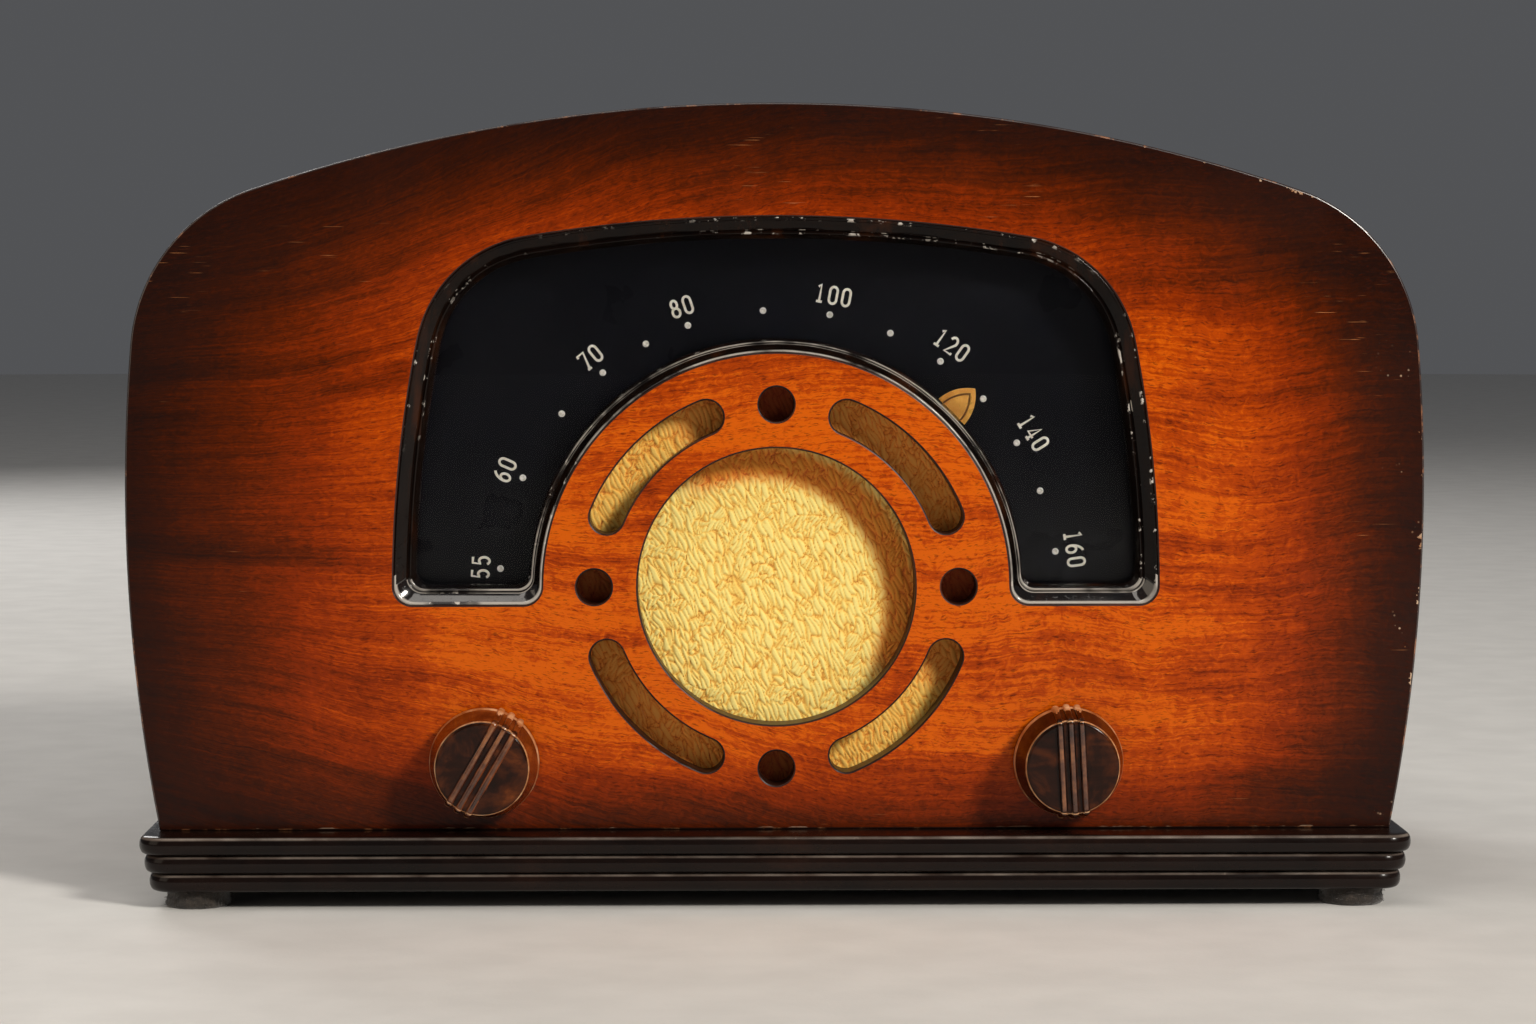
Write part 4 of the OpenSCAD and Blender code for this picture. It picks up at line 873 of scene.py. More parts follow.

# %% [markdown]
# ## The black bevel round the window
#
# Between the wood and the glass runs a gloss black moulding. It starts with a small lip at the panel's face,
# falls away in a flat facet of some forty degrees, and ends in a second lip, a groove and a step down to the
# glass. A profile swept along the window by hand would twist at the corners. Here each point of the profile
# is a whole outline of the window at its own inset and depth, so that the corners stay true by themselves.
#
# Pale flecks are painted on the two lips as highlights, and on the foot round the speaker's field short pale
# lines as well. The foot is thick and glossy, and the outer frame is quieter, so the same recipe is mixed
# twice.

# %% Mix the black lacquer


def bevel_lacquer(name, coat, level, wear_and_highlight):
    """Gloss black over brown, with pale flecks and pale lines painted on its two ridges as highlights."""
    black = Finish(name, (13, 11, 12), rough=0.12, coat=coat, coat_rough=0.05)
    black.shader.inputs["Specular IOR Level"].default_value = level
    body = black.tones(black.cloud(1, 4, 0.6, black.stretched(90, 90, 26)),
                       (0.36, (8, 6, 6)), (0.56, (20, 11, 7)), (0.74, (58, 28, 11)))
    depth_in = black.sum("MULTIPLY_ADD", black.axes()["Y"], PER_METRE, -face_y)
    outer = black.between(depth_in, 0.70, 0.34)
    inner = black.sum("MULTIPLY", black.between(depth_in, 2.30, 2.42), black.between(depth_in, 2.86, 2.70))
    ridge = black.sum("MAXIMUM", outer, black.sum("MULTIPLY", inner, 0.8))
    # painted highlight: pale flecks and lines on the two ridges stand in for glints of light on the lacquer
    highlight_flecks = black.between(black.cloud(330, 3, 0.6), 0.57, 0.64)
    clusters = black.between(black.cloud(24, 2), 0.42, 0.56)
    highlight_flecks = black.sum("MULTIPLY", black.sum("MULTIPLY", highlight_flecks, ridge), clusters)
    lines = black.between(black.cloud(1, 3, 0.6, black.stretched(60, 60, 60)), 0.36, 0.56)
    lines = black.sum("MULTIPLY", black.sum("MULTIPLY", lines, ridge), wear_and_highlight)
    black.color(black.blend(black.sum("MAXIMUM", highlight_flecks, lines), body, (206, 198, 188)))
    black.gloss(black.between(black.cloud(90, 4), 0.35, 0.75, 0.08, 0.24))
    black.bump(black.cloud(1, 3, 0.6, black.stretched(120, 120, 90)), 0.10, 0.5)
    black.bump(black.cloud(520, 3, 0.6), 0.03, 0.4)
    black.bump(black.between(black.cloud(620, 2, 0.5), 0.60, 0.72), -0.06, 0.5)
    return black.material


gloss_black = bevel_lacquer("gloss_black_bevel", 1.0, 0.5, 0.72)
quiet_black = bevel_lacquer("quiet_black_bevel", 0.12, 0.1, 0.0)
print("lacquers:", gloss_black.name, quiet_black.name)

# %% Sweep the bevel
bevel_in = 5.7
bevel_lift = 5.2
bevel_grow = 3.7
bevel_back = 9
gloss_r = 71
bevel_profile = [(-0.02, 9.4), (-0.02, 0.75), (0.0, 0.45), (0.03, 0.22), (0.07, 0.14), (0.11, 0.20)]
bevel_profile += [(0.14, 0.42), (0.18, 0.62), (0.36, 1.40), (0.56, 2.28), (0.60, 2.72), (0.64, 2.92)]
bevel_profile += [(0.67, 2.84), (0.70, 2.60), (0.74, 2.50), (0.78, 2.60), (0.84, 3.20), (0.92, 4.20)]
bevel_profile += [(0.97, 4.80), (1.0, 5.4), (1.0, 9.4)]
bevel_rings = []
for share, depth in bevel_profile:
    bite_r = field_r + bevel_grow * share
    corner_r = window_foot_r * (1 - share / 4)
    outline = window_outline(bevel_in * share, bevel_lift * share, bite_r, corner_r)
    sway = 0.22 if 0.3 < share < 0.9 else 0.04
    bevel_ring = []
    for p in outline:
        uneven = sway * noise.noise(Vector((p.x * 0.16, p.y * 0.16, share * 5)))
        bevel_ring.append(at(p.x, depth + uneven if depth < bevel_back else depth, p.y))
    bevel_rings.append(bevel_ring)
bevel = ring_by_ring("window_bevel", bevel_rings, gloss_black, closed=True, smooth=50)
bevel.data.materials.append(quiet_black)
for face in bevel.data.polygons:
    spot = Vector((face.center.x / MM, face.center.z / MM))
    face.material_index = 0 if (spot - field).length < gloss_r or spot.y < field.y + 2 else 1
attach(bevel, "cabinet")
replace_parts(bevel, "dial_bezel")
print("bevel:", len(bevel.data.polygons), "faces over", len(bevel_profile), "profile points")

# %% [markdown]
# ## Dial figures and dots
#
# The scale was printed in cream ink on black card. The figures stand upright towards the rim, in a plain
# slab letter with small feet. No font is used: each figure is a few strokes drawn as a pen would, with ovals
# and straight runs, and a curve with a little width turns them into flat strokes of ink. A small bright dot
# sits under each figure and between them.

# %% Pen strokes for the figures


def oval(cx, cy, rx, ry, start=0.0, end=360.0, steps=20):
    """Part of an oval, between two angles in degrees."""
    turns = [math.radians(start + (end - start) * i / steps) for i in range(steps + 1)]
    return [(cx + rx * math.cos(a), cy + ry * math.sin(a)) for a in turns]


def figure_strokes(figure):
    """The strokes of one figure in a box one wide and two high."""
    if figure == "0":
        top = oval(0.5, 1.5, 0.42, 0.5, 0, 180, 12)
        return [top + oval(0.5, 0.5, 0.42, 0.5, 180, 360, 12) + [(0.92, 1.5)]]
    if figure == "1":
        return [[(0.22, 1.72), (0.52, 2.0), (0.52, 0.0)], [(0.18, 0.0), (0.86, 0.0)]]
    if figure == "2":
        return [oval(0.5, 1.45, 0.4, 0.55, 165, -25, 14) + [(0.1, 0.0), (0.94, 0.0), (0.94, 0.2)]]
    if figure == "4":
        return [[(0.98, 0.55), (0.05, 0.55), (0.68, 2.0), (0.68, 0.0)], [(0.42, 0.0), (0.94, 0.0)]]
    if figure == "5":
        return [[(0.86, 2.0), (0.18, 2.0), (0.12, 1.1)] + oval(0.48, 0.64, 0.42, 0.62, 125, -145, 16)]
    if figure == "6":
        return [oval(0.5, 0.6, 0.4, 0.58), oval(0.98, 0.62, 0.88, 1.4, 180, 104, 12)]
    if figure == "7":
        return [[(0.1, 1.72), (0.1, 2.0), (0.92, 2.0), (0.4, 0.0)], [(0.16, 0.0), (0.68, 0.0)]]
    return [oval(0.5, 1.5, 0.34, 0.48), oval(0.5, 0.52, 0.42, 0.52)]


print("figures drawn from", sum(len(figure_strokes(f)) for f in "01245678"), "strokes")

# %% Mix the ink
cream_ink = Finish("cream_ink", (232, 228, 214), rough=0.6)
cream_ink.color(cream_ink.tones(cream_ink.cloud(900, 3), (0.3, (238, 232, 214)), (0.7, (252, 250, 242))))
cream_ink.bump(cream_ink.cloud(2500, 2), 0.02, 0.4)
print("ink:", cream_ink.material.name)

# %% [markdown]
# ## Where the figures stand
#
# The angles are read off the dial, clockwise from the top. The printed circle isn't quite centred on the
# field, as happens when the card is slid until the pointer agrees with a known station.

# %% Lay out the scale
figure_high = 4.6
figure_wide = 2.4
figure_step = 3.6
figure_r = 81.6
dot_r = 76.25
print_center = field + Vector((0.97, -1.8))
ink_half = 0.35
ink_flat = 0.12
plate_depth = (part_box("dial_plate")[0].y / MM) - face_y
scale_marks = [("55", -85.6), ("60", -66.3), ("", -50.9), ("70", -39.0), ("", -28.4), ("80", -19.0)]
scale_marks += [("", -3.3), ("100", 10.4), ("", 23.4), ("120", 35.2), ("", 46.9), ("140", 58.3)]
scale_marks += [("", 69.3), ("160", 82.2)]


def radial(angle, radius, along=0.0, center=field):
    """A spot on the dial: clockwise angle from the top, radius, and a step along the reading direction."""
    a = math.radians(angle)
    out = Vector((math.sin(a), math.cos(a)))
    read = Vector((math.cos(a), -math.sin(a)))
    return center + out * radius + read * along


print("marks on the scale:", len(scale_marks))

# %% Print the figures
strokes = bpy.data.curves.new("dial_figures", "CURVE")
strokes.dimensions = "3D"
strokes.bevel_depth = ink_half * MM
strokes.bevel_resolution = 2
strokes.use_fill_caps = True
for word, angle in scale_marks:
    for place, figure in enumerate(word):
        left = (place - len(word) / 2) * figure_step + (figure_step - figure_wide) / 2
        for stroke in figure_strokes(figure):
            line = strokes.splines.new("POLY")
            line.points.add(len(stroke) - 1)
            for spot, (u, v) in zip(line.points, stroke):
                p = radial(angle, figure_r + (v - 1) * figure_high / 2, left + u * figure_wide, print_center)
                spot.co = (p.x * MM, 0, p.y * MM, 1)
pen = bpy.data.objects.new("pen", strokes)
bpy.context.collection.objects.link(pen)
ink_mesh = bpy.data.meshes.new_from_object(pen.evaluated_get(bpy.context.evaluated_depsgraph_get()))
bpy.data.objects.remove(pen)
ink_mesh.transform(Matrix.Diagonal((1, ink_flat, 1, 1)))
ink_mesh.transform(Matrix.Translation((0, at(0, plate_depth, 0).y, 0)))
figures = finished("dial_figures", ink_mesh, cream_ink.material)
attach(figures, "cabinet")
print("dial figures:", len(ink_mesh.polygons), "faces")

# %% [markdown]
# ## Pearl dots
#
# Each dot is a small bead of enamel with a dimple where the drop sank as it dried. It is turned from a
# profile under two millimetres wide, and the dimple gives it a tiny ring of light.

# %% Set the dots
pearl = Finish("pearl_dot", (226, 222, 212), rough=0.35, coat=0.3)
pearl.color(pearl.tones(pearl.cloud(1400, 2), (0.35, (224, 220, 210)), (0.6, (252, 250, 244))))
pearl.bump(pearl.cloud(1800, 2), 0.03, 0.4)
dots = []
for word, angle in scale_marks:
    spot = radial(angle, dot_r, 0.0, print_center)
    dome = [(0.92, 0.02), (0.90, -0.10), (0.74, -0.19), (0.52, -0.23), (0.38, -0.20)]
    dome += [(0.30, -0.12), (0.1, -0.10)]
    profile = [(r, plate_depth + d) for r, d in dome]
    dots.append(turned("dot", profile, spot, pearl.material, steps=28))
dots = joined("dial_dots", dots)
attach(dots, "cabinet")
print("dots:", len(scale_marks))

# %% [markdown]
# ## The pointer
#
# The pointer is stamped brass, a pointed arch with a smaller triangle pressed into it and rubbed dark. Its
# outline is two circles that meet at the tip. Eight such outlines, drawn in step by step at their own depths,
# give the rolled edge, the raised rim, the sunk triangle and its floor.

# %% Gild the pointer
brass_gilt = Finish("pointer_gilt", (214, 158, 78), rough=0.38, metal=0.25)
gilt_tone = brass_gilt.tones(brass_gilt.cloud(260, 4), (0.3, (212, 140, 54)), (0.7, (244, 184, 88)))
pointer_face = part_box("pointer")[0].y / MM
gilt_depth = brass_gilt.sum("MULTIPLY_ADD", brass_gilt.axes()["Y"], PER_METRE, -pointer_face)
rubbed_dark = brass_gilt.between(gilt_depth, 0.14, 0.34)
brass_gilt.color(brass_gilt.blend(brass_gilt.sum("MULTIPLY", rubbed_dark, 0.8), gilt_tone, (92, 52, 18)))
brass_gilt.gloss(brass_gilt.between(brass_gilt.cloud(500, 3), 0.3, 0.7, 0.26, 0.46))
brass_gilt.bump(brass_gilt.cloud(1300, 3), 0.03, 0.5)
print("pointer finish:", brass_gilt.material.name)

# %% Stamp the pointer
pointer_turn = 45.7
pointer_tip = 76.0
pointer_high = 9.7
pointer_half = 5.0
pointer_front = pointer_face - face_y


def gothic(inset, foot):
    """A pointed arch drawn in by an inset, from its foot up and down again, as (across, out) pairs."""
    steps = 16
    shift = (pointer_high**2 - pointer_half**2) / (2 * pointer_half)
    radius = shift + pointer_half - inset
    spring = pointer_tip - pointer_high
    tip = math.acos(shift / radius)
    right = [(-shift + radius * math.cos(a), spring + radius * math.sin(a))
             for a in [tip * i / steps for i in range(steps + 1)]]
    left = [(-u, v) for u, v in reversed(right[:-1])]
    return [(pointer_half - inset, foot)] + right + left + [(-(pointer_half - inset), foot)]


def on_dial(pair, depth):
    """Turns an (across, out) pair to the pointer's angle at rest."""
    p = radial(pointer_turn, pair[1], pair[0])
    return at(p.x, depth, p.y)


pointer_steps = [(0.0, 60.3, 0.8), (0.0, 60.3, 0.10), (0.15, 60.4, 0.0), (1.35, 62.4, 0.03)]
pointer_steps += [(1.5, 62.7, 0.40), (1.85, 63.3, 0.44), (2.05, 63.6, 0.10), (2.4, 64.2, 0.06)]
pointer_rings = []
for inset, foot, down in pointer_steps:
    pointer_rings.append([on_dial(pair, pointer_front + down) for pair in gothic(inset, foot)])
pointer = ring_by_ring("stamped_pointer", pointer_rings, brass_gilt.material, smooth=25)
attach(pointer, "pointer")
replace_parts(pointer, "pointer")
print("pointer:", len(pointer.data.polygons), "faces")

# %% [markdown]
# ## The grille cloth
#
# Behind the holes is a golden cloth with raised leaves, a few millimetres to a leaf. It is glued flat, so no
# simulation is needed: it is stretched. The relief is big enough to cast small shadows, so it is real relief
# in the mesh. Points are scattered at random, and each leaf is the area nearest to one of them, with a furrow
# where two areas meet. The areas are stretched along a lean, and in patches the leaves are smaller and lean
# the other way. The ridge height is also kept as a colour layer, so that painted light and shade can follow
# the relief: the yarn is pale on the ridges and deeper gold in the furrows.

# %% Draw the leaves
cloth_r = 58.4
cloth_depth = 9.55
cloth_relief = 0.6
cloth_grid = 420
patch_level = 0.22


def leaf_height(x, z):
    """Relief from 0 to 1: long leaves that lean one way, and patches of small ones that lean the other."""
    patch = noise.noise(Vector((x * 0.17, z * 0.15, 7.0)))
    patch += 0.30 * noise.noise(Vector((x * 0.5, z * 0.5, 2.0)))
    if patch < patch_level:
        lean, wide, long = math.radians(113), 1.18, 5.8
    else:
        lean, wide, long = math.radians(58), 0.84, 3.6
    along = x * math.cos(lean) + z * math.sin(lean)
    across = x * math.sin(lean) - z * math.cos(lean)
    across += 0.8 * noise.noise(Vector((x * 0.22, z * 0.22, 5.0)))
    near, far = noise.voronoi(Vector((across / wide, along / long, 0.5)))[0][:2]
    edge = min(1.0, (far - near) * 3.4)
    seam = min(1.0, abs(patch - patch_level) * 14)
    return math.sqrt(max(0.0, edge * seam))


def square_on_disc(u, v):
    """Moves a spot of a square to its place on a disc, so that a square mesh ends on a circle."""
    return u * math.sqrt(1 - v * v / 2), v * math.sqrt(1 - u * u / 2)


print("relief at the centre:", round(leaf_height(0, 0), 2))

# %% Weave the cloth
cloth_points = []
cloth_ridge = []
for i in range(cloth_grid + 1):
    for j in range(cloth_grid + 1):
        u, v = square_on_disc(2 * i / cloth_grid - 1, 2 * j / cloth_grid - 1)
        x = u * cloth_r
        z = v * cloth_r
        ridge = leaf_height(x, z)
        cloth_ridge.append(ridge)
        cloth_points.append(at(field.x + x, cloth_depth + cloth_relief * (1 - ridge), field.y + z))
cloth_faces = []
row = cloth_grid + 1
for i in range(cloth_grid):
    for j in range(cloth_grid):
        cloth_faces.append((i * row + j, (i + 1) * row + j, (i + 1) * row + j + 1, i * row + j + 1))
cloth_mesh = bpy.data.meshes.new("grille_cloth_woven")
cloth_mesh.from_pydata(cloth_points, [], cloth_faces)
layer = cloth_mesh.color_attributes.new("ridge", "FLOAT_COLOR", "POINT")
for spot, ridge in zip(layer.data, cloth_ridge):
    spot.color = (ridge, ridge, ridge, 1)
print("cloth:", len(cloth_faces), "faces")

# %% [markdown]
# ## Golden yarn
#
# The yarn is matt, with a little sheen from its loose fibres. Its gold follows the ridge layer, pale on the
# crests and deeper in the furrows as painted light and shade, and a fine noise across it stands for single
# threads. Close to the edges of the openings, where the panel throws its shadow, that shadow is painted into
# the cloth's colour as a browner tint, and so is the shade in the shaded slots and the four small holes.

# %% Dye the yarn, with painted shade in its furrows
yarn = Finish("golden_grille_cloth", (226, 178, 84), rough=0.82)
yarn.shader.inputs["Sheen Weight"].default_value = 0.25
yarn.shader.inputs["Sheen Roughness"].default_value = 0.5
ridge_layer = yarn.add("ShaderNodeAttribute", attribute_name="ridge")
thread = yarn.cloud(1, 3, 0.6, yarn.stretched(900, 900, 2600))
# painted light and shade: the yarn is paler on the ridges and deeper gold in the furrows, following the
# relief
on_ridge = yarn.sum("MULTIPLY", ridge_layer.outputs["Fac"], 0.72)
yarn_tone = yarn.sum("ADD", on_ridge, yarn.sum("MULTIPLY", thread, 0.32))
yarn_golds = ((0.10, (150, 84, 22)), (0.32, (228, 164, 62)), (0.52, (252, 210, 102)), (0.92, (255, 234, 140)))
yarn_color = yarn.tones(yarn_tone, *yarn_golds)


def tint(amount, color):
    """Tints the yarn's colour where the amount is 1."""
    return yarn.blend(amount, yarn_color, yarn.blend(1.0, yarn_color, color, "MULTIPLY"))


print("yarn runs through", len(yarn_golds), "golds")

# %% Paint the panel's shadow on the cloth
# browner cloth in the shaded slots and darker cloth in the four small holes
# painted shadow: a brown crescent where the panel shades the speaker hole, warmer cloth behind the other
# holes,
light_shift = Vector((-4.5, -5.5))
cloth_place = yarn.axes()
from_light = ground_distance(yarn, field + light_shift, 0)
deep = yarn.sum("MULTIPLY", yarn.between(from_light, -31.5, -36.5), yarn.between(from_light, -45.5, -41.0))
diagonal = yarn.sum("ADD", cloth_place["X"], yarn.sum("SUBTRACT", cloth_place["Z"], field.y * MM))
deep = yarn.sum("MULTIPLY", deep, yarn.between(diagonal, -4 * MM, 12 * MM))
yarn_color = tint(deep, (232, 160, 84))
crossed = yarn.sum(
    "MULTIPLY",
    yarn.sum("SUBTRACT", cloth_place["X"], field.x * MM),
    yarn.sum("SUBTRACT", cloth_place["Z"], field.y * MM),
)
outside = yarn.between(ground_distance(yarn, field, 0), -38.5, -41.5)
slot_shade = yarn.sum("MAXIMUM", yarn.between(crossed, 0.0, 0.00025), yarn.between(diagonal, 8 * MM, 24 * MM))
shaded = yarn.sum("MULTIPLY", outside, slot_shade)
yarn_color = tint(shaded, (255, 212, 190))
yarn_color = tint(outside, (255, 226, 190))
# painted shade: darker cloth inside each of the four small round holes
for step in range(4):
    hole = field_spot(pip_ring, math.pi / 2 * step)
    pip_hole_shade = yarn.between(ground_distance(yarn, hole, 0), -7.5, -6.0)
    yarn_color = tint(pip_hole_shade, (170, 112, 84))
yarn.color(yarn_color)
yarn.bump(thread, 0.10, 0.6)
yarn.bump(yarn.cloud(1, 2, 0.5, yarn.stretched(2600, 900, 900)), 0.08, 0.4)
print("cloth finish:", len(yarn.tree.nodes), "nodes")

# %% Stretch the cloth
cloth = finished("grille_cloth_woven", cloth_mesh, yarn.material, smooth=80)
thick = cloth.modifiers.new("cloth_thickness", "SOLIDIFY")
thick.thickness = 0.15 * MM
thick.offset = -1
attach(cloth, "cabinet")
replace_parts(cloth, "grille_cloth")

# %% [markdown]
# ## Brown phenolic knobs
#
# Each knob was moulded in one piece from phenolic resin: a slightly tapered drum with a flat face, a rolled
# rim, and three round ribs that cross the face and run down both sides. The drum is turned from a profile,
# and each rib is a half round strip bent over the drum in its own plane. Both knobs come from the same tools,
# at their own turn.
#
# Phenolic resin is marbled, and handling changes it. The face is dark and marbled, the rolled rim and the
# base are pale, partly rubbed and partly a painted highlight, the ribs' crests carry a painted highlight in a
# lighter brown, and the sheltered side walls are clear and glossy. The volume knob has kept a warm brown
# there, and the tuning knob has gone dark.

# %% Marbled resin
resin = Finish("brown_resin", (74, 36, 17), rough=0.16, coat=0.12, coat_rough=0.05)
resin.shader.inputs["Specular IOR Level"].default_value = 0.12
swirl = resin.cloud(55, 5, 0.6, wander=1.8)
streak = resin.cloud(1, 4, 0.55, resin.stretched(60, 90, 170), wander=1.2)
streak_share = resin.sum("MULTIPLY", streak, 0.4)
resin_tone = resin.sum("MULTIPLY_ADD", swirl, 0.6, streak_share)
resin_browns = ((0.36, (18, 8, 4)), (0.48, (38, 16, 7)), (0.58, (72, 33, 12)), (0.72, (128, 64, 24)))
resin.color(resin.tones(resin_tone, *resin_browns))
resin.gloss(resin.between(resin.cloud(140, 3), 0.3, 0.75, 0.12, 0.26))
resin.bump(resin.cloud(420, 3), 0.03, 0.4)
print("resin runs through", len(resin_browns), "browns")

# %% Pale edges, highlighted crests and walls
# the pale rim and base edge are partly rubbed resin and partly a painted highlight
edge_wear_and_highlight = Finish("resin_edge_wear_and_highlight", (150, 98, 54), rough=0.28, coat=0.4, coat_rough=0.1)
edge_wear_and_highlight_tones = ((0.34, (120, 70, 38)), (0.5, (184, 126, 80)), (0.68, (236, 192, 146)))
edge_wear_and_highlight.color(edge_wear_and_highlight.tones(edge_wear_and_highlight.cloud(160, 4, 0.65), *edge_wear_and_highlight_tones))
edge_wear_and_highlight.bump(edge_wear_and_highlight.cloud(700, 3), 0.03, 0.4)

# painted highlight: the ribs' crests are a lighter brown than the rest of the resin
crest = Finish("resin_crest", (92, 54, 32), rough=0.2, coat=0.6, coat_rough=0.08)
crest_tones = ((0.34, (46, 22, 11)), (0.5, (88, 48, 25)), (0.68, (150, 92, 50)))
crest.color(crest.tones(crest.cloud(140, 4, 0.6), *crest_tones))
crest.bump(crest.cloud(420, 3), 0.03, 0.4)


def drum_wall(name, shine, dark, middle_tone, light):
    """The drum's side: the same resin, clearer and glossier than the face."""
    wall = Finish(name, middle_tone, rough=0.2, coat=shine, coat_rough=0.06)
    wall.shader.inputs["Specular IOR Level"].default_value = shine / 2
    marbling = wall.cloud(90, 4, 0.6, wander=1.0)
    wall.color(wall.tones(marbling, (0.34, dark), (0.5, middle_tone), (0.68, light)))
    wall.bump(wall.cloud(420, 3), 0.03, 0.4)
    return wall.material


amber_wall = drum_wall("warm_resin", 0.4, (38, 16, 7), (78, 35, 14), (134, 68, 28))
umber_wall = drum_wall("dark_resin", 0.14, (14, 6, 4), (30, 13, 7), (62, 30, 15))
print("walls:", amber_wall.name, umber_wall.name)

# %% Bend a rib over the drum
knob_r = 14.8
knob_face_r = 12.7
knob_rib_h = 0.9
knob_proud = 17.5
knob_front = -knob_proud + knob_rib_h
knob_back = -1.0
knob_flat_back = knob_back - 3.0
knob_round = 1.2
knob_drop = knob_flat_back - 0.3 - knob_front - knob_round


def rib_strip(name, offset, center, turn, material):
    """One rib: a half round strip across the face and down both sides, in the plane at an offset."""
    def drum_r(depth):
        share = (depth - (knob_front + knob_round)) / (knob_flat_back - knob_front - knob_round)
        return knob_face_r + (knob_r - knob_face_r) * max(0.0, min(1.0, share))

    path = []
    for step in range(9):
        depth = knob_flat_back - 0.3 - knob_drop * step / 8
        reach = math.sqrt(drum_r(depth) ** 2 - offset**2)
        path.append((reach, depth))
    corner = path[-1][0] - knob_round
    for step in range(1, 8):
        a = math.pi / 2 * step / 8
        path.append((corner + knob_round * math.cos(a), knob_front + knob_round - knob_round * math.sin(a)))
    for step in range(0, 9):
        path.append((corner * (1 - step / 8), knob_front))
    path += [(-s, d) for s, d in reversed(path[:-1])]
    section = [(-0.95, -0.5), (-0.95, 0.25), (-0.80, 0.58), (-0.5, 0.82), (0.0, 0.9)]
    section += [(-u, h) for u, h in reversed(section[:-1])]
    turn_cos = math.cos(math.radians(turn))
    turn_sin = math.sin(math.radians(turn))
    rings = []
    for i, (reach, depth) in enumerate(path):
        before = Vector(path[max(i - 1, 0)])
        after = Vector(path[min(i + 1, len(path) - 1)])
        way = (after - before).normalized()
        normal = Vector((-way.y, way.x))
        if normal.x * reach - normal.y * 8.0 < 0:
            normal = -normal
        ring = []
        for u, h in section:
            s = reach + normal.x * h
            d = depth + normal.y * h
            w = offset + u
            ring.append(at(center.x + w * turn_cos + s * turn_sin, d, center.y - w * turn_sin + s * turn_cos))
        rings.append(ring)
    return ring_by_ring(name, rings, material, smooth=40)


print("a rib stands", knob_rib_h, "mm proud")

# %% The drum's profile
rim_start = knob_front + knob_round
knob_profile = [(0.05, knob_front + 0.25), (4.0, knob_front + 0.24)]
knob_profile += [(8.0, knob_front + 0.18), (10.6, knob_front + 0.05)]
for degrees in range(0, 91, 15):
    a = math.radians(degrees)
    out = knob_face_r - knob_round + knob_round * math.sin(a)
    knob_profile.append((out, rim_start - knob_round * math.cos(a)))
knob_profile += [(knob_r - 0.38, rim_start + 0.82 * knob_drop), (knob_r - 0.30, rim_start + 0.86 * knob_drop)]
knob_profile += [(knob_r, knob_flat_back - 0.3), (knob_r + 0.02, knob_flat_back + 0.2)]
knob_profile += [(knob_r, knob_back - 0.5), (knob_r - 0.15, knob_back - 0.12), (knob_r - 0.5, knob_back)]
knob_profile += [(3.4, knob_back), (3.3, knob_back - 8), (0.05, knob_back - 8)]
print("drum profile:", len(knob_profile), "points")

# %% Turn and rib both knobs
rib_offsets = (-2.9, 0.0, 2.9)


def knob(name, node, body, side, turn, wall_finish):
    """One knob with its ribs at an angle, each face given its finish: pale rim and base, highlighted crests,
    walls.
    """
    center = Vector((side * knob_out, knob_z))
    parts = [turned(name + "_drum", knob_profile, center, resin.material, 120)]
    for offset in rib_offsets:
        parts.append(rib_strip(name + "_rib", offset, center, turn, resin.material))
    whole = joined(name, parts)
    whole.data.materials.append(edge_wear_and_highlight.material)
    whole.data.materials.append(wall_finish)
    whole.data.materials.append(crest.material)
    for face in whole.data.polygons:
        depth = face.center.y / MM - face_y
        away = Vector((face.center.x / MM - center.x, face.center.z / MM - center.y)).length
        on_rim = depth < knob_front + 0.95 and away > knob_face_r - 0.42
        on_crest = depth < knob_front - 0.80
        at_base = away > knob_r - 0.34 and depth < knob_flat_back + 0.3
        on_wall = away > knob_face_r - 0.1 and depth > knob_front + 0.9
        if (on_rim and away < knob_face_r) or at_base:
            face.material_index = 1
        elif on_crest:
            face.material_index = 3
        elif on_wall or depth < knob_front - 0.2:
            face.material_index = 2
    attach(whole, body)
    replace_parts(whole, node)
    return whole


volume = knob("ribbed_volume_knob", "volume_knob", "volume", -1, 30.0, amber_wall)
tuning = knob("ribbed_tuning_knob", "tuning_knob", "tuning", 1, -3.2, umber_wall)
print("knobs:", len(volume.data.polygons), "and", len(tuning.data.polygons), "faces")

# %% [markdown]
# ## The stepped black plinth
#
# Three black lacquered boards, each a little smaller than the one above, with rolled front and side edges.
# The lacquer is thick and soft looking, and a pale highlight line is painted along the shoulder of each roll.
# The three shoulders repeat at the thickness of a board, so one painted line, repeated in height, serves for
# all. Each board is built ring by ring: a rounded rectangle seen from above, whose inset follows a half
# circle from its upper to its lower face.

# %% Lacquer the boards
slat = 5.1
lacquer = Finish("black_lacquer", (18, 12, 10), rough=0.3, coat=0.2, coat_rough=0.04)
lacquer.shader.inputs["Specular IOR Level"].default_value = 0.12
lacquer_tone = lacquer.cloud(35, 5, 0.6)
body = lacquer.tones(lacquer_tone, (0.3, (12, 7, 6)), (0.6, (26, 15, 11)), (0.8, (44, 25, 17)))
below_top = lacquer.sum("MULTIPLY_ADD", lacquer.axes()["Z"], -PER_METRE / slat, plinth_z / slat)
below_top = lacquer.sum("FRACT", below_top)
shoulder = lacquer.between(below_top, 0.03, 0.09)
shoulder = lacquer.sum("MULTIPLY", shoulder, lacquer.between(below_top, 0.22, 0.14))
patchy = lacquer.between(lacquer.cloud(1, 4, 0.65, lacquer.stretched(26, 26, 120)), 0.30, 0.62, 0.15, 0.95)
nick = lacquer.between(lacquer.cloud(260, 3, 0.6), 0.66, 0.72)
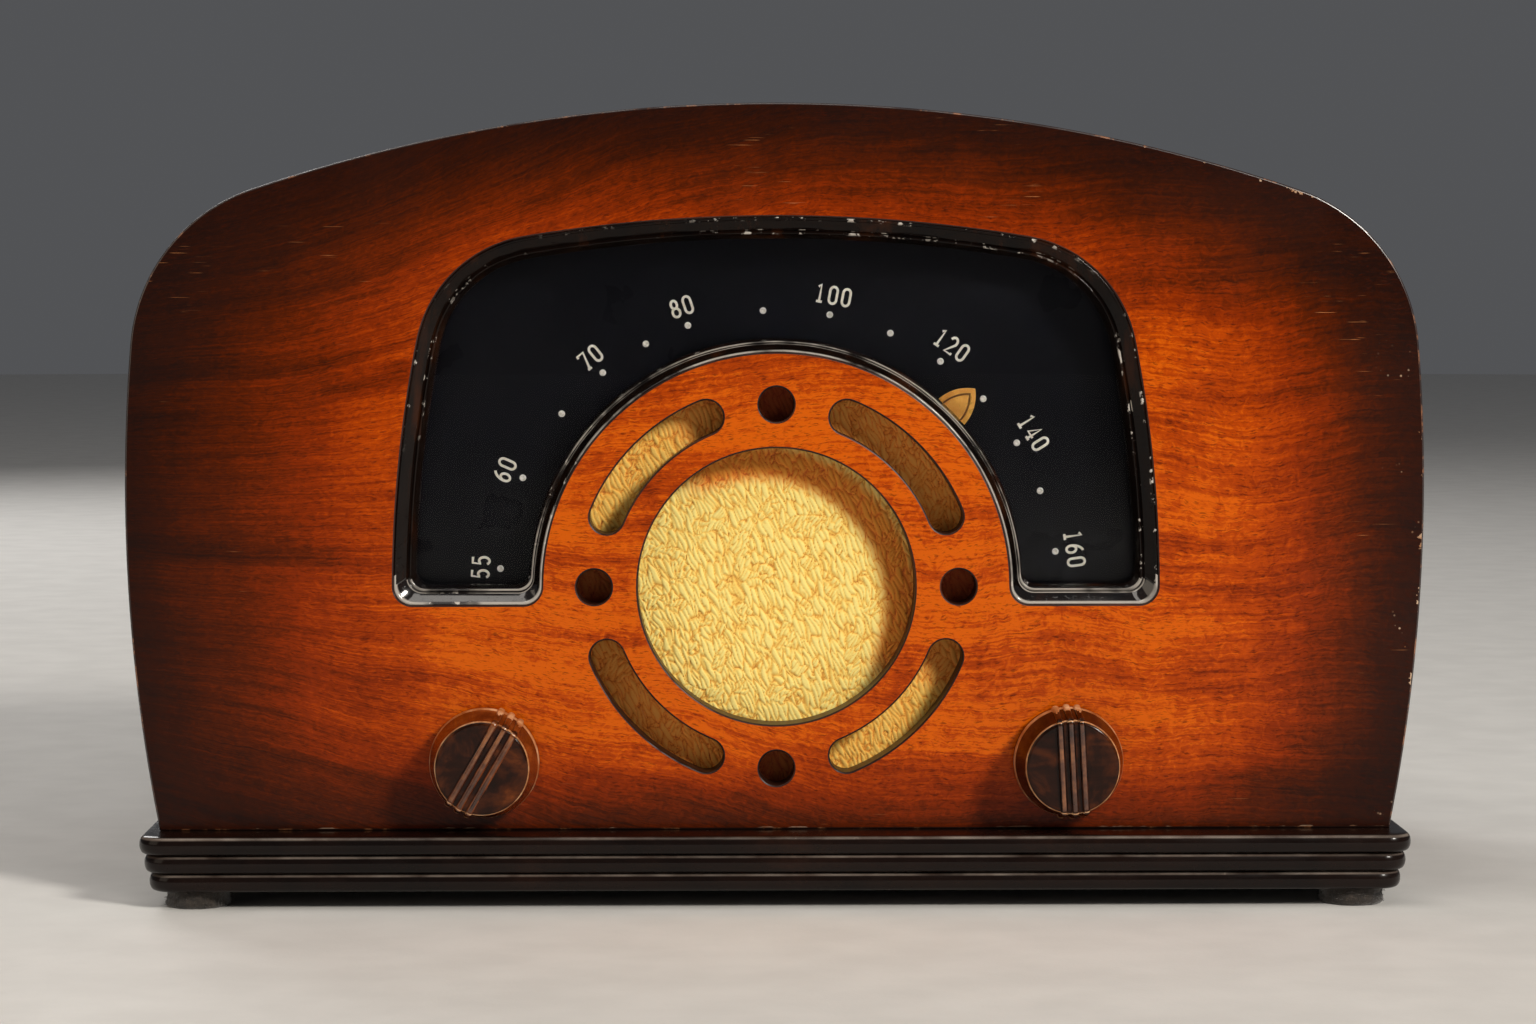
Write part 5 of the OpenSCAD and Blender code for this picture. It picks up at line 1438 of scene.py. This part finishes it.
# painted highlight: a pale line along each board's shoulder, broken by patches and nicks
shoulder_highlight = lacquer.sum("MULTIPLY", shoulder, lacquer.sum("MAXIMUM", patchy, nick))
shoulder_highlight_tint = lacquer.tones(lacquer.cloud(90, 3), (0.35, (88, 74, 66)), (0.65, (142, 130, 120)))
lacquer.color(lacquer.blend(lacquer.sum("MULTIPLY", shoulder_highlight, 0.85), body, shoulder_highlight_tint))
brushed_on = lacquer.cloud(1, 4, 0.6, lacquer.stretched(60, 60, 300))
lacquer.gloss(lacquer.between(brushed_on, 0.3, 0.75, 0.16, 0.34))
lacquer.bump(lacquer.cloud(1, 4, 0.6, lacquer.stretched(60, 60, 200)), 0.14, 0.4)
print("lacquer:", len(lacquer.tree.nodes), "nodes")

# %% Roll and stack the boards
plinth_half = 171.1
plinth_front = -12.8
plinth_step = 1.15
plinth_corner = 7
board_words = (("upper", "plinth_top"), ("middle", "plinth_middle"), ("lower", "plinth_bottom"))
cabinet_back = 175.0


def plan(half, front, corner, back):
    """A board seen from above: round front corners, square back ones."""
    steps = 10
    c = Vector((half - corner, front + corner))
    right = arc(c, corner, -math.pi / 2, 0, steps)
    return right + [Vector((half, back)), Vector((-half, back))] + mirrored(right)


def plinth_piece(index, word, node):
    """One board, counted from the top, with its rolled edge."""
    nose = slat / 2
    half = plinth_half - index * plinth_step
    front = plinth_front + index * plinth_step
    middle_z = plinth_z - (index + 0.5) * slat
    rings = []
    for step in range(13):
        a = math.pi * step / 12
        draw = nose * (1 - math.sin(a) ** 0.55)
        up = middle_z + nose * math.cos(a)
        outline = plan(half - draw, front + draw, plinth_corner - draw, cabinet_back)
        rings.append([at(p.x, p.y, up) for p in outline])
    piece = ring_by_ring(word + "_plinth_board", rings, lacquer.material)
    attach(piece, "cabinet")
    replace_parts(piece, node)
    return piece


plinth = [plinth_piece(index, word, node) for index, (word, node) in enumerate(board_words)]
print("plinth boards:", [p.name for p in plinth])

# %% [markdown]
# ## Worn felt feet
#
# Under the plinth sit four felt discs, pressed flat and frayed. Felt has no threads, only matted fibres, so
# the disc's edge is roughened by noise at two scales and a few stray fibres stand out of it. Fibres are thin
# tubes bent at random, kept above the table.

# %% Felt
felt = Finish("worn_felt", (74, 62, 52), rough=0.95)
felt.shader.inputs["Sheen Weight"].default_value = 0.5
felt_tones = ((0.3, (22, 17, 13)), (0.55, (46, 38, 31)), (0.8, (80, 70, 60)))
felt.color(felt.tones(felt.cloud(700, 5, 0.7), *felt_tones))
felt.bump(felt.cloud(1500, 4, 0.7), 0.4, 0.9)
foot_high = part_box("foot_front_left")[1].z / MM
foot_r = 9.0
foot_sides = 72
foot_levels = [(0.0, -0.75), (0.25, -0.2), (0.9, 0.0), (1.8, -0.25), (2.8, -0.35), (3.9, -0.25), (4.6, -0.15)]
foot_levels.append((foot_high - 0.02, -0.35))
print("felt feet are", round(foot_high, 2), "mm high")

# %% Press a pad


def felt_foot(node, center, seed):
    """A pressed disc of felt with a frayed edge."""
    rings = []
    for up, swell in foot_levels:
        ring = []
        for j in range(foot_sides):
            a = 2 * math.pi * j / foot_sides
            rough = noise.noise(Vector((math.cos(a) * 2.3 + seed, math.sin(a) * 2.3, up * 0.5)))
            fine = noise.noise(Vector((math.cos(a) * 9.0, math.sin(a) * 9.0 + seed, up * 1.6)))
            r = min(foot_r, foot_r - 0.35 + swell + 0.45 * rough + 0.3 * fine)
            ring.append(at(center.x + r * math.cos(a), center.y + r * math.sin(a), up))
        rings.append(ring)
    pad = ring_by_ring(node + "_felt", rings, felt.material, smooth=70)
    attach(pad, "cabinet")
    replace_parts(pad, node)


print("pads have", foot_sides, "sides")

# %% [markdown]
# ## Stray fibres
#
# A pad that has been dragged over tables sheds fibres at its edge. Each one is a thin bent tube of five
# points that starts inside the pad. They are drawn from one seed per foot, so that the feet differ but come
# out the same each time.

# %% Fray the pads
fibres_each = 70


def fray(node, center, seed):
    """Fibres that stand out of a pad's edge."""
    maker = random.Random(seed)
    fuzz = bpy.data.curves.new(node + "_fibres", "CURVE")
    fuzz.dimensions = "3D"
    fuzz.bevel_depth = 0.05 * MM
    for _ in range(fibres_each):
        a = maker.uniform(0, 2 * math.pi)
        up = maker.uniform(0.4, 3.6)
        line = fuzz.splines.new("POLY")
        line.points.add(4)
        bend = maker.uniform(-0.12, 0.12)
        lift = maker.uniform(-0.35, 0.35)
        for k, spot in enumerate(line.points):
            r = foot_r - 1.2 + 0.36 * k
            turn = a + bend * k
            p = at(center.x + r * math.cos(turn), center.y + r * math.sin(turn), max(0.1, up + lift * k))
            spot.co = (p.x, p.y, p.z, 1)
    fibres = bpy.data.objects.new(node + "_fibres", fuzz)
    fibres.data.materials.append(felt.material)
    bpy.context.collection.objects.link(fibres)
    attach(fibres, "cabinet")


feet = ("foot_front_left", "foot_front_right", "foot_rear_left", "foot_rear_right")
for place, name in enumerate(feet):
    low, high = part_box(name)
    foot_center = Vector(((low.x + high.x) / 2 / MM, (low.y + high.y) / 2 / MM - face_y))
    felt_foot(name, foot_center, 11 + 7 * place)
    fray(name, foot_center, 11 + 7 * place)
print("felt feet:", len(feet), "with", fibres_each, "fibres each")

# %% [markdown]
# ## Finishes for the pieces that keep their CAD shape
#
# Everything else already has its right shape: the wrapped shell, the dial's glass and plate, the drive, the
# tuning capacitor, the speaker, the chassis with its tubes, and the back cover. Each gets the finish that the
# real one has. Metals are brushed and slightly stained, card, board and rubber have a fine uneven surface,
# and raw wood has straight grain. Constant gloss values sit on the shader itself, and only what varies comes
# from nodes.

# %% Three recipes for shop materials


def metal(name, dark, light, rough, grain=900.0, metallic=1.0):
    """Brushed or plated metal with faint stains."""
    skin = Finish(name, light, rough=rough, metal=metallic)
    stain = skin.cloud(45, 4, 0.6)
    brushed = skin.cloud(1, 3, 0.6, skin.stretched(120, grain, grain))
    tone = skin.sum("MULTIPLY_ADD", brushed, 0.3, skin.sum("MULTIPLY", stain, 0.7))
    skin.color(skin.tones(tone, (0.3, dark), (0.7, light)))
    skin.gloss(skin.between(stain, 0.3, 0.75, rough - 0.06, rough + 0.14))
    skin.bump(brushed, 0.02, 0.4)
    return skin.material


def fibrous(name, dark, light, rough, scale=260.0, relief=0.06):
    """Card, board, rubber and other dull materials with a fine uneven surface."""
    skin = Finish(name, light, rough=rough)
    clouds = skin.cloud(scale, 5, 0.65)
    slow = skin.cloud(scale / 9, 3, 0.5)
    tone = skin.sum("MULTIPLY_ADD", clouds, 0.55, skin.sum("MULTIPLY", slow, 0.45))
    skin.color(skin.tones(tone, (0.32, dark), (0.68, light)))
    skin.gloss(skin.between(slow, 0.3, 0.7, rough - 0.07, min(1.0, rough + 0.07)))
    skin.bump(clouds, relief, 0.6)
    return skin.material


def raw_wood(name, dark, light, along):
    """Plain unfinished wood with its grain along one axis."""
    skin = Finish(name, light, rough=0.72)
    stretch = {"x": (14, 260, 260), "y": (260, 14, 260)}[along]
    lines = skin.cloud(1, 5, 0.6, skin.stretched(*stretch), wander=0.4)
    skin.color(skin.tones(lines, (0.3, dark), (0.7, light)))
    skin.gloss(skin.between(lines, 0.3, 0.7, 0.62, 0.8))
    skin.bump(lines, 0.08, 0.5)
    return skin.material


print("recipes ready")

# %% [markdown]
# ## Glass and the dial card
#
# Two glasses are see-through: the flat pane before the dial and the tubes' bulbs. Both are only as refractive
# as they need to be for a thin wall, so that what lies behind stays in its place. The black card behind the
# pane has collected pale dust in places.

# %% Glass and the dial card
clear_glass = Finish("dial_window_glass", (255, 255, 255), rough=0.02, ior=1.12)
clear_glass.shader.inputs["Transmission Weight"].default_value = 1.0
clear_glass.gloss(clear_glass.between(clear_glass.cloud(60, 3), 0.55, 0.8, 0.0, 0.06))
clear_glass.bump(clear_glass.cloud(14, 2), 0.05, 0.1)

dial_black = Finish("dial_black_card", (8, 9, 14), rough=0.32)
dial_black.shader.inputs["Specular IOR Level"].default_value = 0.12
dust = dial_black.cells(72)
dust_here = dial_black.between(dial_black.cloud(60, 3), 0.48, 0.66)
specks = dial_black.sum("MULTIPLY", dial_black.between(dust, 0.022, 0.010), dust_here)
card = dial_black.tones(dial_black.cloud(18, 3), (0.3, (9, 10, 17)), (0.7, (13, 13, 19)))
dial_black.color(dial_black.blend(specks, card, (150, 152, 156)))
dial_black.gloss(dial_black.between(dial_black.cloud(40, 4), 0.3, 0.7, 0.26, 0.42))
dial_black.bump(dial_black.cloud(300, 3), 0.02, 0.3)

tube_glass = Finish("tube_glass", (250, 250, 248), rough=0.02, ior=1.3)
tube_glass.shader.inputs["Transmission Weight"].default_value = 1.0
tube_glass.gloss(tube_glass.between(tube_glass.cloud(90, 3), 0.5, 0.8, 0.0, 0.08))
print("see-through:", clear_glass.material.name, tube_glass.material.name)

# %% List the shop finishes
finishes = {
    "shell": shell_veneer,
    "clear": clear_glass.material,
    "card": dial_black.material,
    "bulb": tube_glass.material,
    "pine": raw_wood("pine_blocks", (176, 132, 82), (214, 176, 122), "y"),
    "plywood": raw_wood("birch_plywood", (168, 128, 84), (206, 170, 122), "x"),
    "fir_frame": raw_wood("frame_wood", (150, 108, 64), (188, 148, 98), "x"),
    "phenolic": fibrous("phenolic_paper", (72, 40, 20), (112, 68, 36), 0.45, 500),
    "hub_wood": fibrous("hub_black", (14, 12, 12), (30, 26, 24), 0.5, 300),
    "brass": metal("brass", (150, 112, 50), (206, 166, 88), 0.3),
    "steel": metal("plated_steel", (128, 124, 116), (184, 182, 176), 0.32),
    "chassis": metal("cadmium_steel", (118, 116, 106), (168, 164, 150), 0.42, 400),
    "aluminium": metal("aluminium", (156, 158, 160), (206, 208, 210), 0.3),
    "copper": metal("enamelled_copper", (116, 48, 20), (176, 86, 42), 0.28, 1600),
    "core": metal("core_steel", (42, 42, 44), (84, 84, 86), 0.5, 1400, 0.8),
    "tube_metal": metal("tube_elements_nickel", (72, 72, 74), (128, 128, 130), 0.45, 1200),
    "basket": fibrous("basket_paint", (28, 30, 30), (52, 54, 52), 0.4, 220, 0.03),
    "cone": fibrous("cone_paper", (34, 30, 26), (72, 64, 54), 0.9, 420, 0.12),
    "cord": fibrous("waxed_cord", (92, 78, 54), (150, 132, 96), 0.7, 1500, 0.1),
    "ceramic": fibrous("steatite", (196, 188, 170), (228, 222, 206), 0.4, 500, 0.03),
    "base": fibrous("black_resin", (16, 13, 12), (34, 28, 25), 0.25, 180, 0.03),
    "board": fibrous("fibreboard", (78, 52, 30), (122, 86, 54), 0.8, 360, 0.12),
    "rubber": fibrous("black_rubber", (18, 18, 18), (40, 39, 38), 0.7, 400, 0.05),
}
print("shop finishes:", len(finishes))

# %% [markdown]
# ## Slots in the cover's screws
#
# The back cover is held by slotted brass screws. No two slots ever stop at the same angle. The heads are
# already solids, so only the slot is added, as a narrow dip in the bump whose dark colour is partly the dirt
# that gathers there and partly painted shade. The place of each head is asked of the node's own points.

# %% Find the heads
head_reach = 12 * MM
head_spots = []
for vertex in cad["cover_screws"].data.vertices:
    spot = Vector((vertex.co.x, vertex.co.z))
    near = [group for group in head_spots if (group[0] - spot).length < head_reach]
    if near:
        near[0].append(spot)
    else:
        head_spots.append([spot])
print("screw heads:", len(head_spots))

# %% Slotted brass
slotted = Finish("slotted_brass", (206, 166, 88), rough=0.32, metal=1.0)
tarnish = slotted.cloud(420, 4, 0.6)
slot_place = slotted.axes()
slot_here = 0.0
for number, group in enumerate(head_spots):
    low = Vector((min(p.x for p in group), min(p.y for p in group)))
    high = Vector((max(p.x for p in group), max(p.y for p in group)))
    screw = (low + high) / 2
    lean = 0.6 + 1.3 * number
    dx = slotted.sum("SUBTRACT", slot_place["X"], screw.x)
    dz = slotted.sum("SUBTRACT", slot_place["Z"], screw.y)
    along = slotted.sum("MULTIPLY", dz, math.cos(lean))
    off_line = slotted.sum("ABSOLUTE", slotted.sum("MULTIPLY_ADD", dx, -math.sin(lean), along))
    near_across = slotted.sum("LESS_THAN", slotted.sum("ABSOLUTE", dx), head_reach)
    near_up = slotted.sum("LESS_THAN", slotted.sum("ABSOLUTE", dz), head_reach)
    near_screw = slotted.sum("MULTIPLY", near_across, near_up)
    cut = slotted.sum("MULTIPLY", slotted.between(off_line, 0.55 * MM, 0.38 * MM), near_screw)
    slot_here = slotted.sum("MAXIMUM", slot_here, cut)
worn_brass = slotted.tones(tarnish, (0.3, (142, 104, 46)), (0.7, (204, 164, 86)))
# the slot's dark colour is partly dirt and partly painted shade, since the slot has no depth of its own
slotted.color(slotted.blend(slot_here, worn_brass, (34, 24, 14)))
slotted.gloss(slotted.between(tarnish, 0.3, 0.7, 0.26, 0.44))
slotted.bump(slotted.between(slot_here, 0.0, 1.0, 1.0, 0.0), 0.5, 0.6)
finishes["slotted"] = slotted.material
print("slotted finish:", len(slotted.tree.nodes), "nodes")

# %% [markdown]
# ## Dressing the kept nodes
#
# Each finish is listed with the nodes that wear it. A node keeps the shape it has in the model and only its
# material is changed.

# %% Give every kept node its finish
wearers = {
    "shell": ["cabinet_shell"],
    "clear": ["dial_glass"],
    "card": ["dial_plate"],
    "hub_wood": ["pointer_ring"],
    "plywood": ["hub_ring", "baffle_board"],
    "pine": ["glue_blocks"],
    "fir_frame": ["dial_frame"],
    "brass": ["wood_screws", "drum_pinion", "shaft_bushings", "gang_gear"],
    "cord": ["dial_cord"],
    "phenolic": ["drive_drum"],
    "steel": [
        "tuning_shaft",
        "volume_shaft",
        "volume_control",
        "gang_frame",
        "lamp_bracket",
        "chassis_screws",
    ],
    "aluminium": ["gang_rotor", "gang_stator", "if_cans", "filter_capacitor"],
    "ceramic": ["gang_insulators"],
    "chassis": ["chassis"],
    "cone": ["speaker_gasket", "speaker_cone"],
    "basket": ["speaker_frame"],
    "copper": ["voice_coil", "loop_antenna"],
    "core": ["speaker_magnet", "output_transformer"],
    "base": ["tube_sockets", "tube_bases"],
    "bulb": [
        "converter_tube",
        "if_amplifier_tube",
        "detector_tube",
        "output_tube",
        "rectifier_tube",
        "pilot_lamp",
    ],
    "tube_metal": ["tube_elements"],
    "board": ["back_cover"],
    "rubber": ["cord_grommet"],
    "slotted": ["cover_screws"],
}
dressed = set()
for finish_name, nodes in wearers.items():
    for name in nodes:
        node = cad[name]
        node.data.materials.clear()
        node.data.materials.append(finishes[finish_name])
        dressed.add(name)
print("nodes given their finish:", len(dressed))

# %% [markdown]
# ## The speaker's soft rims
#
# The cone of a speaker hangs between two soft rings: the rolled surround at its wide end and the rippled
# spider at its neck. Both are glued to the basket on the outside and to the cone on the inside, so they bend
# when the cone moves. Each ring is cut into narrow sectors that meet without a gap, and each sector takes the
# place of its share of the ring.

# %% Cut the surround and the spider into sectors
rim_sectors = 24


def flexing_ring(node, held_r, moved_r, material):
    """Cuts a ring into sectors that each take the place of their share of the node; held_r and moved_r are
    only printed.
    """
    middle = sum((Vector(corner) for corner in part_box(node)), Vector()) / 2
    half = math.pi / rim_sectors
    for i in range(rim_sectors):
        turn = 2 * math.pi * i / rim_sectors
        name = f"{node}_sector_{i + 1:02d}"
        bm = bmesh.new()
        bm.from_mesh(cad[node].data)
        for side in (-1, 1):
            lean = turn + side * half
            outward = Vector((-math.sin(lean), 0, math.cos(lean))) * side
            everything = bm.verts[:] + bm.edges[:] + bm.faces[:]
            bmesh.ops.bisect_plane(
                bm, geom=everything, dist=1e-7, plane_co=middle, plane_no=outward, clear_outer=True
            )
        bmesh.ops.holes_fill(bm, edges=[e for e in bm.edges if e.is_boundary])
        mesh = bpy.data.meshes.new(name)
        bm.to_mesh(mesh)
        bm.free()
        mesh.materials.clear()
        mesh.materials.append(material)
        piece = bpy.data.objects.new(name, mesh)
        bpy.context.collection.objects.link(piece)
        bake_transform(piece)
        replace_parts(piece, node)
    print(node, "bends between", held_r, "and", moved_r, "mm in", rim_sectors, "sectors")


print("sectors in a ring:", rim_sectors)

# %% Hang the cone
flexing_ring("cone_surround", 53.8, 48.4, finishes["cone"])
flexing_ring("speaker_spider", 29.4, 14.0, finishes["phenolic"])
replaced = [o["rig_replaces"] for o in bpy.data.objects if "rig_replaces" in o]
replaced = {n for names in replaced for n in names}
left = sorted(set(cad) - dressed - replaced)
print("nodes dressed:", len(dressed), "replaced:", len(replaced), "left over:", left)
